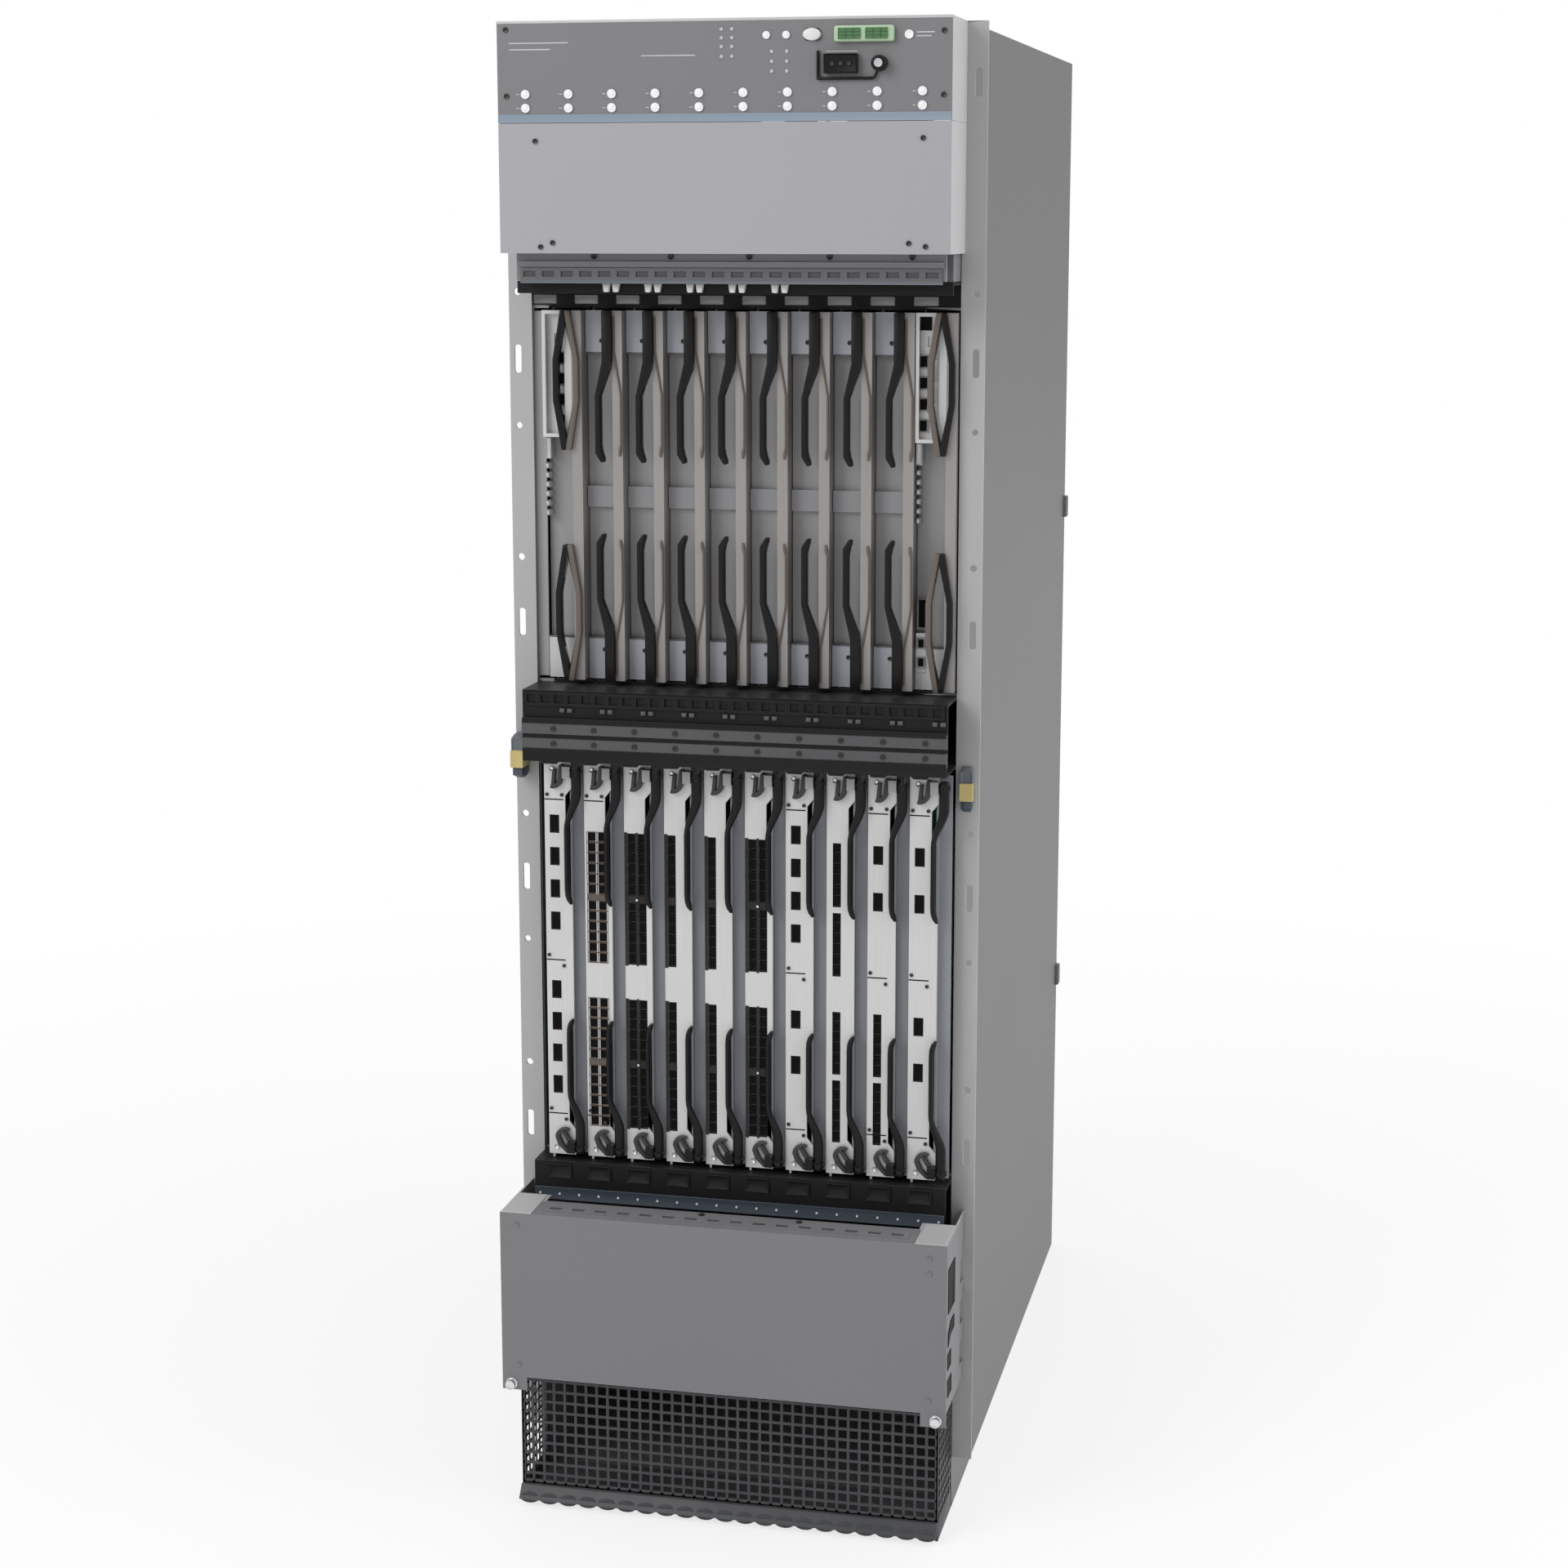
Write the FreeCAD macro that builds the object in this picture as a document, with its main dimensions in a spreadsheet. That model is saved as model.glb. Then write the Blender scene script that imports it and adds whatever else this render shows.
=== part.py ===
import FreeCAD, Part
import math
import os
import re

import Sketcher

# Modular chassis router for a 19-inch rack: a tall steel shell with an upper cage of control and
# fabric boards, a lower cage of line cards, a status panel on top and a fan intake at the foot.
# Every body is drawn in a frame of its own: x across, y back from the rack flange, z up.

SIZES = {
    # Shell and rack flanges
    "rack_width": 482.6,
    "flange_width": 20.3,
    "flange_return": 1.5,
    "chassis_depth": 809.0,
    "wall": 2.0,
    "flange_thickness": 2.5,
    "flange_foot": 55.0,
    "rack_unit": 44.45,
    "rack_hole_inset": 8.75,
    "rack_hole_radius": 3.5,
    "rack_slot_length": 28.0,
    "first_slot": 387.35,
    # Heights, stacked from the floor
    "lower_bay_height": 357.0,
    "shelf_thickness": 5.0,
    "line_cage_height": 422.0,
    "middle_bay_height": 68.0,
    "fabric_cage_height": 376.0,
    "top_bay_height": 268.3,
    # Card cage
    "cage_wall": 2.0,
    "cage_front": 6.0,
    "midplane_start": 430.0,
    "midplane_thickness": 6.0,
    "slot_count": 10,
    "slot_margin": 6.0,
    "groove_depth": 2.5,
    "clearance": 0.3,
    "board_thickness": 2.4,
    "board_offset": 10.0,
    "component_height": 16.0,
    "component_margin": 40.0,
    # Line cards
    "card_gap": 13.6,
    "face_gap": 2.0,
    "flank_gap": 0.8,
    "flank_recess": 9.0,
    "flank_thickness": 2.0,
    "face_reach": 25.0,
    "face_thickness": 2.5,
    "face_notch_start": 30.0,
    "face_notch_end": 148.0,
    "face_notch_depth": 6.5,
    "face_notch_slope": 8.0,
    "port_depth": 1.8,
    "lower_bank": 35.0,
    "upper_bank": 210.0,
    "large_port_width": 10.0,
    "large_port_height": 19.0,
    "quad_rise": 33.0,
    "quad_pitch": 34.0,
    "pair_rise": 70.0,
    "pair_pitch": 48.0,
    "bank_port_width": 8.4,
    "bank_port_height": 66.0,
    "bank_pitch": 72.0,
    "column_gap": 2.6,
    "port_side_margin": 3.5,
    # Line card levers
    "lever_offset": 6.8,
    "lever_inset": 3.9,
    "lever_width": 5.0,
    "lever_root_width": 10.5,
    "lever_depth": 9.0,
    "lever_gap": 0.6,
    "lever_pivot": 12.0,
    "lever_heel": 6.0,
    "lever_shoulder": 22.0,
    "lever_bend": 60.0,
    "lever_length": 138.0,
    "lever_hook": 4.0,
    "lever_hook_rise": 11.0,
    "ear_width": 8.0,
    "ear_height": 12.0,
    # Fabric and control boards
    "fabric_gap": 0.4,
    "fabric_recess": 14.0,
    "rib_width": 10.5,
    "rib_reach": 8.0,
    "end_block_height": 42.0,
    "end_block_step": 8.0,
    "crossbar_height": 21.0,
    "crossbar_step": 6.0,
    "handle_width": 4.6,
    "handle_depth": 10.0,
    "handle_reach": 14.0,
    "handle_offset": 12.0,
    "handle_shoulder": 54.0,
    "handle_bend": 84.0,
    "handle_length": 147.0,
    "handle_tip": 12.0,
    "loop_inset": 5.0,
    "loop_bulge": 12.8,
    "loop_length": 138.0,
    "loop_flat": 40.0,
    "loop_end": 9.0,
    "tray_height": 126.0,
    "tray_reach": 6.0,
    "tray_rim": 3.5,
    "tray_depth": 8.0,
    "jack_size": 10.0,
    "jack_pitch": 21.0,
    "jack_margin": 30.0,
    # Status panel and its controls
    "hood_reach": 86.0,
    "status_height": 95.3,
    "lamp_radius": 4.4,
    "lamp_proud": 2.0,
    "lamp_margin": 28.0,
    "lamp_rise": 14.0,
    "lamp_row_gap": 13.0,
    "pilot_radius": 4.0,
    "pilot_inset": 177.0,
    "pilot_gap": 19.0,
    "control_line": 16.0,
    "button_inset": 133.0,
    "button_width": 17.0,
    "button_height": 11.0,
    "button_proud": 3.0,
    "button_lip": 1.5,
    "relay_inset": 83.0,
    "relay_width": 56.0,
    "relay_height": 14.0,
    "relay_plate": 2.0,
    "relay_block": 19.0,
    "relay_proud": 7.0,
    "port_inset": 105.0,
    "port_drop": 43.0,
    "port_width": 32.0,
    "port_height": 18.0,
    "port_proud": 6.0,
    "guard_width": 3.0,
    "guard_margin": 12.0,
    "guard_rise": 9.0,
    "knob_radius": 8.0,
    "knob_reach": 37.0,
    "knob_proud": 12.0,
    # Access panel and card rails
    "panel_seam": 0.3,
    "access_bottom": 218.3,
    "lip_height": 26.0,
    "lip_reach": 60.0,
    "lip_margin": 8.0,
    "rail_thickness": 3.0,
    "upper_rail_reach": 46.0,
    "upper_rail_height": 25.0,
    "upper_rail_skirt": 12.0,
    "middle_rail_reach": 52.0,
    "middle_rib_height": 14.0,
    "middle_rib_proud": 4.0,
    "middle_rib_gap": 18.5,
    "middle_rib_drop": 10.0,
    "finger_width": 3.6,
    "finger_drop": 8.0,
    "finger_gap": 4.0,
    "lower_rail_reach": 36.0,
    "lower_rail_skirt": 36.0,
    # Lower cover and intake grille
    "cover_reach": 110.0,
    "cover_margin": 9.3,
    "cover_bottom": 149.0,
    "cover_top": 326.0,
    "cover_ledge": 44.0,
    "gusset_width": 34.0,
    "gusset_depth": 62.0,
    "cover_window": 30.0,
    "cover_window_pitch": 44.0,
    "lug_width": 26.0,
    "lug_drop": 14.0,
    "grille_reach": 84.0,
    "grille_height": 170.0,
    "grille_web": 6.6,
    "grille_margin": 6.5,
    "grille_first_row": 10.0,
    "grille_columns": 12,
    # Fan tray at the rear
    "fan_margin": 17.5,
    "fan_depth": 46.0,
    "shroud_wall": 3.0,
    "spoke_width": 7.0,
    "spoke_depth": 4.0,
    "motor_radius": 26.0,
    "motor_depth": 8.0,
    "spindle_radius": 5.0,
    "spindle_play": 0.3,
    "hub_radius": 30.0,
    "hub_depth": 28.0,
    "tip_gap": 4.0,
    "blade_count": 7,
    "blade_sweep": 16.0,
    "blade_thickness": 5.0,
    # Rear cover, base and power modules
    "pan_thickness": 3.0,
    "module_shelf": 400.0,
    "shelf_overhang": 20.0,
    "module_gap": 2.6,
    "module_height": 156.0,
    "module_space": 63.0,
    "module_inset": 10.0,
    "module_count": 9,
    "inlet_width": 28.0,
    "inlet_height": 21.0,
    "inlet_depth": 12.0,
    "inlet_rise": 20.0,
    "latch_width": 20.0,
    "latch_height": 7.0,
    "latch_proud": 8.0,
    "rear_inset": 30.0,
    "pull_height": 110.0,
    "pull_reach": 24.0,
    "pull_bar": 8.0,
    "pull_offset": 150.0,
}

# Sizes that follow from the driving ones, each worked out in its own cell
DERIVED = {
    "body_width": "=rack_width - 2 * flange_width",
    "rack_hole_spacing": "=rack_width - 2 * rack_hole_inset",
    "inner_width": "=body_width - 2 * wall",
    "cage_width": "=inner_width - 2 * cage_wall",
    "rail_width": "=inner_width - 2 * flange_return - 2 * clearance",
    "slot_pitch": "=(cage_width - 2 * slot_margin) / slot_count",
    "card_width": "=slot_pitch - card_gap",
    "lever_root": "=card_width / 2 + lever_offset",
    "lever_grip": "=card_width / 2 - lever_inset",
    "fabric_width": "=slot_pitch - rib_width - fabric_gap",
    "finger_offset": "=slot_pitch / 2 + finger_gap",
    "lamp_start": "=body_width / 2 - lamp_margin",
    "pilot_x": "=body_width / 2 - pilot_inset",
    "button_x": "=body_width / 2 - button_inset",
    "relay_x": "=body_width / 2 - relay_inset",
    "port_x": "=body_width / 2 - port_inset",
    "cover_width": "=rack_width - 2 * cover_margin",
    "grille_pitch": "=(body_width - 2 * grille_margin) / grille_columns",
    "grille_hole": "=grille_pitch - grille_web",
    "fan_spacing": "=inner_width / 2",
    "fan_radius": "=fan_spacing / 2 - fan_margin",
    "module_pitch": "=inner_width / module_count",
    "module_width": "=module_pitch - module_gap",
    "module_depth": "=chassis_depth - module_inset - midplane_start - midplane_thickness - module_space",
    "module_shelf_depth": "=module_depth + module_inset + shelf_overhang",
}

# Places worked out from the sizes
FLANGE = "(cover_reach - chassis_depth) / 2"
LINE_FLOOR = "(lower_bay_height + shelf_thickness)"
LINE_TOP = f"({LINE_FLOOR} + line_cage_height)"
FABRIC_FLOOR = f"({LINE_TOP} + 2 * shelf_thickness + middle_bay_height)"
FABRIC_TOP = f"({FABRIC_FLOOR} + fabric_cage_height)"
TOP_BAY = f"({FABRIC_TOP} + shelf_thickness)"
HEIGHT = f"({TOP_BAY} + top_bay_height)"
STATUS_BOTTOM = f"({HEIGHT} - status_height)"
ACCESS_BOTTOM = f"({HEIGHT} - access_bottom)"
BOARD_SPAN = "(groove_depth - clearance)"
RAIL_KEEP = "(groove_depth + clearance)"

# View name to origin plane, sketch offset for a start on its axis, and whether a pad runs backwards
VIEWS = {
    "front": ("XZ_Plane", "-({})", True),
    "side": ("YZ_Plane", "{}", False),
    "plan": ("XY_Plane", "{}", False),
}

doc = FreeCAD.newDocument("router")
sheet = doc.addObject("Spreadsheet::Sheet", "sizes")
for line, (alias, value) in enumerate({**SIZES, **DERIVED}.items(), start=1):
    sheet.set(f"A{line}", alias)
    sheet.set(f"B{line}", str(value))
    sheet.setAlias(f"B{line}", alias)
doc.recompute()

nodes = []


def link(item, prop, text):
    """Binds a property to an expression in which every word is a cell of the sheet."""
    item.setExpression(prop, re.sub(r"\b(?!min\()[a-z][a-z_]+", r"sizes.\g<0>", text))


def place(item, x, y, z):
    for axis, text in zip("xyz", (x, y, z)):
        link(item, f"Placement.Base.{axis}", text)


def finish(item, name):
    item.Label = name
    nodes.append(item)
    return item


def new_body(name, x="0", z="0"):
    body = doc.addObject("PartDesign::Body", name)
    place(body, x, FLANGE, z)
    return body


def origin_feature(body, role):
    return next(item for item in body.Origin.OriginFeatures if item.Role == role)


def new_sketch(body, view, start):
    role, offset, _ = VIEWS[view]
    sketch = body.newObject("Sketcher::SketchObject", f"{view}_sketch")
    sketch.AttachmentSupport = [(origin_feature(body, role), "")]
    sketch.MapMode = "FlatFace"
    link(sketch, "AttachmentOffset.Base.z", offset.format(start))
    return sketch


def fix_point(sketch, curve, end, point):
    for kind, text in zip(("DistanceX", "DistanceY"), point):
        number = sketch.addConstraint(Sketcher.Constraint(kind, -1, 1, curve, end, 1.0))
        link(sketch, f"Constraints[{number}]", text)


def draw_outline(sketch, points):
    """Adds a closed outline of straight edges, each corner bound to its two expressions."""
    first = sketch.GeometryCount
    total = len(points)
    for corner in range(total):
        start = FreeCAD.Vector(corner, corner * corner, 0)
        end = FreeCAD.Vector(corner + 1, (corner + 1) ** 2, 0)
        sketch.addGeometry(Part.LineSegment(start, end), False)
    for corner in range(total):
        following = first + (corner + 1) % total
        sketch.addConstraint(Sketcher.Constraint("Coincident", first + corner, 2, following, 1))
    for corner, point in enumerate(points):
        fix_point(sketch, first + corner, 1, point)


def rectangle(left, bottom, right, top):
    return [(left, bottom), (right, bottom), (right, top), (left, top)]


def oval_outline(centre, width, height):
    """Outline of a slot or button: long straight sides and ends turned in by short flats."""
    x, z = centre
    wide, tall = f"({width}) / 2", f"({height}) / 2"
    turn = f"min({width}; {height}) / 4"
    quarter = [(wide, f"({tall} - {turn})"), (f"({wide} - {turn})", tall)]
    corners = []
    for flip_x, flip_z, order in (("+", "+", 1), ("-", "+", -1), ("-", "-", 1), ("+", "-", -1)):
        corners += [(f"{x} {flip_x} {u}", f"{z} {flip_z} {v}") for u, v in quarter[::order]]
    return corners


def ring(centre, radius, corners):
    """Corners of a regular outline on a circle, with a flat at the top."""
    x, z = centre
    turns = [2 * math.pi * (corner + 0.5) / corners for corner in range(corners)]
    return [(f"{x} + {math.sin(turn):.5f} * ({radius})", f"{z} + {math.cos(turn):.5f} * ({radius})")
            for turn in turns]


def round_flats(radius, corners):
    """Corner radius of a regular outline whose flats touch a circle of the given radius."""
    return f"({radius}) * {1 / math.cos(math.pi / corners):.5f}"


def add_pad(body, view, sketch, length):
    pad = body.newObject("PartDesign::Pad", "pad")
    pad.Profile = sketch
    pad.Reversed = VIEWS[view][2]
    link(pad, "Length", length)
    return pad


def add_pocket(body, view, sketch, length):
    pocket = body.newObject("PartDesign::Pocket", "pocket")
    pocket.Profile = sketch
    pocket.Reversed = not VIEWS[view][2]
    link(pocket, "Length", length)
    return pocket


def slab(body, view, points, start, length):
    """Pads an outline from start along the view's axis."""
    sketch = new_sketch(body, view, start)
    draw_outline(sketch, points)
    return add_pad(body, view, sketch, length)


def cutout(body, view, outlines, start, length):
    """Cuts one or more outlines from start along the view's axis."""
    sketch = new_sketch(body, view, start)
    for points in outlines:
        draw_outline(sketch, points)
    return add_pocket(body, view, sketch, length)


def disc_sketch(body, view, centre, radius, start):
    sketch = new_sketch(body, view, start)
    sketch.addGeometry(Part.Circle(FreeCAD.Vector(0, 0, 0), FreeCAD.Vector(0, 0, 1), 1), False)
    fix_point(sketch, 0, 3, centre)
    number = sketch.addConstraint(Sketcher.Constraint("Radius", 0, 1.0))
    link(sketch, f"Constraints[{number}]", radius)
    return sketch


def bore(body, view, centre, radius, start, length):
    return add_pocket(body, view, disc_sketch(body, view, centre, radius, start), length)


def repeat(body, features, axis, pitch, count):
    """Repeats features in a row along an axis of the first one's sketch."""
    pattern = body.newObject("PartDesign::LinearPattern", "pattern")
    pattern.Originals = features
    pattern.Direction = (features[0].Profile[0], [f"{axis}_Axis"])
    link(pattern, "Length", f"({pitch}) * ({count} - 1)")
    link(pattern, "Occurrences", count)
    body.Tip = pattern
    return pattern


def slot_centre(number):
    return f"({number} - (slot_count + 1) / 2) * slot_pitch"


SPARE_HOLE_SIDES = 6


def make_wrap():
    """Folded shell of top and two sides, with the rack flanges turned out at the front."""
    body = new_body("outer_wrap")
    half = "body_width / 2"
    inner = f"({half} - wall)"
    roof = f"({HEIGHT} - wall)"
    slab(body, "front", [
        (f"-{half}", "0"), (f"-{inner}", "0"), (f"-{inner}", roof), (inner, roof),
        (inner, "0"), (half, "0"), (half, HEIGHT), (f"-{half}", HEIGHT),
    ], "0", "chassis_depth")
    for side in ("-", ""):
        outer = f"{side}rack_width / 2"
        root = f"{side}({inner} - flange_return)"
        slab(body, "front", rectangle(outer, "flange_foot", root, HEIGHT), "0", "flange_thickness")
    group, step = "6 * rack_unit", "1.5 * rack_unit"
    for side in ("-", ""):
        across = f"{side}rack_hole_spacing / 2"
        hole = bore(body, "front", (across, f"first_slot + {step}"), "rack_hole_radius", "0", "flange_thickness")
        repeat(body, [hole], "V", group, "4")
        between = ring((across, f"first_slot + {group} - {step}"), "rack_hole_radius", SPARE_HOLE_SIDES)
        slot = oval_outline((across, "first_slot"), "2 * rack_hole_radius", "rack_slot_length")
        for outline, pitch, count in ((between, f"2 * {group}", "2"), (slot, group, "5")):
            window = cutout(body, "front", [outline], "0", "flange_thickness")
            repeat(body, [window], "V", pitch, count)
    return finish(body, "outer_wrap")


def make_base():
    """Floor pan folded up at the rear and forward again as the shelf of the power modules."""
    body = new_body("base_pan")
    rear = "chassis_depth"
    fold = "pan_thickness"
    lip = f"({rear} - module_shelf_depth)"
    slab(body, "side", [
        ("0", "0"), (rear, "0"), (rear, "module_shelf"), (lip, "module_shelf"),
        (lip, f"module_shelf - {fold}"), (f"{rear} - {fold}", f"module_shelf - {fold}"),
        (f"{rear} - {fold}", fold), ("0", fold),
    ], "-inner_width / 2", "inner_width")
    return finish(body, "base_pan")


def make_cage():
    """Riveted card cage: two side plates and four grooved shelves around the two card bays."""
    body = new_body("card_cage")
    depth = "(midplane_start - cage_front)"
    half = "inner_width / 2"
    slab(body, "front", rectangle(f"-{half}", "lower_bay_height", half, TOP_BAY), "cage_front", depth)
    clear = "cage_width / 2"
    bays = [
        (LINE_FLOOR, LINE_TOP),
        (f"({LINE_TOP} + shelf_thickness)", f"({FABRIC_FLOOR} - shelf_thickness)"),
        (FABRIC_FLOOR, FABRIC_TOP),
    ]
    windows = [rectangle(f"-{clear}", low, clear, high) for low, high in bays]
    cutout(body, "front", windows, "cage_front", depth)
    middle = f"({slot_centre(1)} - board_offset)"
    groove = "(board_thickness / 2 + clearance)"
    edges = [
        (f"{LINE_FLOOR} - groove_depth", LINE_FLOOR), (LINE_TOP, f"{LINE_TOP} + groove_depth"),
        (f"{FABRIC_FLOOR} - groove_depth", FABRIC_FLOOR), (FABRIC_TOP, f"{FABRIC_TOP} + groove_depth"),
    ]
    grooves = [rectangle(f"{middle} - {groove}", low, f"{middle} + {groove}", high) for low, high in edges]
    guide = cutout(body, "front", grooves, "cage_front", depth)
    repeat(body, [guide], "H", "slot_pitch", "slot_count")
    return finish(body, "card_cage")


def make_midplane():
    """Passive board that every card plugs into from the front."""
    body = new_body("midplane")
    half = "inner_width / 2"
    outline = rectangle(f"-{half}", "lower_bay_height", half, TOP_BAY)
    slab(body, "front", outline, "midplane_start", "midplane_thickness")
    return finish(body, "midplane")


def add_board(body, front, cage_height):
    """Circuit board that runs in the cage grooves, with the block of parts and plugs on its right."""
    centre = "-board_offset"
    left = f"({centre} - board_thickness / 2)"
    right = f"({centre} + board_thickness / 2)"
    end = "(midplane_start - clearance)"
    outline = rectangle(left, f"-{BOARD_SPAN}", right, f"{cage_height} + {BOARD_SPAN}")
    slab(body, "front", outline, front, f"{end} - ({front})")
    margin = "component_margin"
    parts = rectangle(left, margin, f"{right} + component_height", f"{cage_height} - {margin}")
    slab(body, "front", parts, f"{front} + {margin}", f"{end} - ({front}) - {margin}")


def card_face_outline():
    """Line card face, cut back beside the grip of each lever."""
    half = "card_width / 2"
    notch = f"({half} - face_notch_depth)"
    low, high = "face_gap", "(line_cage_height - face_gap)"
    start, end, slope = "face_notch_start", "face_notch_end", "face_notch_slope"
    right = []
    for turn in ("{}", "line_cage_height - ({})"):
        steps = [(half, start), (notch, f"{start} + {slope}"), (notch, f"{end} - {slope}"), (half, end)]
        run = [(x, turn.format(z)) for x, z in steps]
        right += run if turn == "{}" else run[::-1]
    return [(f"-{half}", low), (half, low)] + right + [(half, high), (f"-{half}", high)]


def port_row(body, kind, column, first, pitch, count):
    """Cuts a row of equal port recesses up the card face."""
    left = f"-card_width / 2 + port_side_margin + {column} * ({kind}_port_width + column_gap)"
    outline = rectangle(left, first, f"{left} + {kind}_port_width", f"{first} + {kind}_port_height")
    port = cutout(body, "front", [outline], "-face_reach", "port_depth")
    repeat(body, [port], "V", pitch, str(count))


# Port rows of each slot's card: kind, column, first height, pitch, count
LARGE_COLUMN = 0.15
SINGLE_COLUMN = 0.25
LOWER, UPPER = HALVES = ("lower_bank", "upper_bank")


def quad(bank):
    return ("large", LARGE_COLUMN, f"{bank} + quad_rise", "quad_pitch", 4)


def pair(bank):
    return ("large", LARGE_COLUMN, f"{bank} + pair_rise", "pair_pitch", 2)


def small_ports(column, bank):
    return ("bank", column, bank, "bank_pitch", 2)


TWIN_COLUMNS = [small_ports(column, bank) for column in (0, 1) for bank in HALVES]
LEFT_COLUMN = [small_ports(0, bank) for bank in HALVES]
CARD_PORTS = {
    1: [quad(LOWER), quad(UPPER)],
    2: TWIN_COLUMNS,
    3: TWIN_COLUMNS,
    4: LEFT_COLUMN,
    5: LEFT_COLUMN,
    6: TWIN_COLUMNS,
    7: [pair(LOWER), quad(UPPER)],
    8: [small_ports(SINGLE_COLUMN, bank) for bank in HALVES],
    9: [small_ports(SINGLE_COLUMN, LOWER), pair(UPPER)],
    10: [pair(LOWER), pair(UPPER)],
}


def lever_height(end, offset):
    """Height above the cage floor of a point that lies offset from the pivot towards mid-card."""
    if end == "lower":
        return f"lever_pivot + {offset}"
    return f"line_cage_height - lever_pivot - ({offset})"


LEVER_FRONT = "-(face_reach + lever_gap + lever_depth)"


def add_flank(body):
    """Plate set back beside a line card face, across the gap to the next card."""
    edge, far = "card_width / 2", "(slot_pitch - card_width / 2 - flank_gap)"
    fold, joint = f"({edge} - flank_thickness)", "(face_thickness - face_reach)"
    front, back = "(flank_recess - face_reach)", "(flank_recess + flank_thickness - face_reach)"
    slab(body, "plan", [(fold, joint), (edge, joint), (edge, front), (far, front), (far, back), (fold, back)],
         "face_gap", "line_cage_height - 2 * face_gap")


def make_line_card(number):
    """Line card: face with its port recesses and flank, the ears of its two levers, and its board."""
    body = new_body(f"line_card_{number:02d}", slot_centre(number), LINE_FLOOR)
    slab(body, "front", card_face_outline(), "-face_reach", "face_thickness")
    add_board(body, "-face_reach + face_thickness", "line_cage_height")
    add_flank(body)
    ear_end = "(lever_root - lever_root_width / 2 - clearance)"
    for end in ("lower", "upper"):
        pivot = lever_height(end, "0")
        ear = rectangle(f"{ear_end} - ear_width", f"{pivot} - ear_height / 2",
                        ear_end, f"{pivot} + ear_height / 2")
        slab(body, "front", ear, LEVER_FRONT, "lever_gap + lever_depth + face_thickness")
    for ports in CARD_PORTS[number]:
        port_row(body, *ports)
    return finish(body, f"line_card_{number:02d}")


def lever_outline(end):
    """Bent ejector lever: broad root beside the card, a sloped neck and a hooked grip."""
    half, heel = "lever_width / 2", "lever_root_width / 2"
    root, grip, hook = "lever_root", "lever_grip", "lever_hook"
    tip = "(lever_length - lever_hook_rise)"
    right = [
        (f"{root} + {heel}", "-lever_heel"), (f"{root} + {heel}", "lever_shoulder"),
        (f"{grip} + {half}", "lever_bend"), (f"{grip} + {half}", tip),
        (f"{grip} + {half} + {hook}", f"lever_length - {hook} / 2"),
    ]
    left = [
        (f"{grip} + {half}", "lever_length"), (f"{grip} - {half}", f"{tip} + {hook}"),
        (f"{grip} - {half}", "lever_bend"), (f"{root} - {heel}", "lever_shoulder"),
        (f"{root} - {heel}", "-lever_heel"),
    ]
    return [(x, lever_height(end, offset)) for x, offset in right + left]


def make_lever(number, end):
    name = f"line_card_{number:02d}_{end}_lever"
    body = new_body(name, slot_centre(number), LINE_FLOOR)
    slab(body, "front", lever_outline(end), LEVER_FRONT, "lever_depth")
    return finish(body, name)


def handle_outlines():
    """Fixed view of a board's ejector handle, from its root on the rib to the hooked grip."""
    half = "handle_width / 2"
    root = f"(fabric_width / 2 - {half})"
    grip = f"({root} - handle_offset)"
    side = [
        (f"{root} + {half}", "0"), (f"{root} + {half}", "handle_shoulder"),
        (f"{grip} + {half}", "handle_bend"), (f"{grip} + {half}", "handle_length - handle_tip"),
        (f"{grip} + handle_width", "handle_length"), (f"{grip} - {half}", "handle_length - handle_tip / 2"),
        (f"{grip} - {half}", "handle_bend"), (f"{root} - {half}", "handle_shoulder"),
        (f"{root} - {half}", "0"),
    ]
    return [side]


def loop_outlines():
    """Control board handle: two bars that part round the rib and meet at both ends."""
    middle = "(fabric_width / 2 - loop_inset)"
    low, high = "(loop_length - loop_flat) / 2", "(loop_length + loop_flat) / 2"
    bar, tip = "(loop_bulge - handle_width)", "2 * handle_width"
    right = [("loop_end / 2", "0"), ("loop_bulge", low), ("loop_bulge", high), ("loop_end / 2", "loop_length")]
    outer = [(f"{middle} + {x}", z) for x, z in right] + [(f"{middle} - {x}", z) for x, z in right[::-1]]
    inner = [
        (middle, tip), (f"{middle} + {bar}", low), (f"{middle} + {bar}", high),
        (middle, f"loop_length - {tip}"), (f"{middle} - {bar}", high), (f"{middle} - {bar}", low),
    ]
    return [outer, inner]


def add_handle(body, outlines, upward):
    """Pads a handle drawn from its end of the face, the second outline being its opening."""
    low, high = "face_gap", "(fabric_cage_height - face_gap)"
    sketch = new_sketch(body, "front", "-handle_reach")
    for points in outlines:
        draw_outline(sketch, [(x, f"{low} + {z}" if upward else f"{high} - ({z})") for x, z in points])
    add_pad(body, "front", sketch, "handle_depth")


def add_fabric_front(body, handle):
    """Recessed face with a proud rib on its right edge and an ejector handle at each end."""
    left, right = "-fabric_width / 2", "fabric_width / 2"
    low, high = "face_gap", "(fabric_cage_height - face_gap)"
    slab(body, "front", rectangle(left, low, right, high), "fabric_recess", "face_thickness")
    rib = rectangle(f"{right} - clearance", low, f"{right} + rib_width - clearance", high)
    slab(body, "front", rib, "-rib_reach", "rib_reach + fabric_recess + face_thickness")
    for upward in (True, False):
        add_handle(body, handle, upward)
    add_board(body, "fabric_recess + face_thickness", "fabric_cage_height")


def add_face_block(body, low, high, step):
    """Raised block across the recessed face of a board."""
    outline = rectangle("-fabric_width / 2", low, "fabric_width / 2", high)
    slab(body, "front", outline, f"fabric_recess - {step}", f"{step} + face_thickness")


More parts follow.
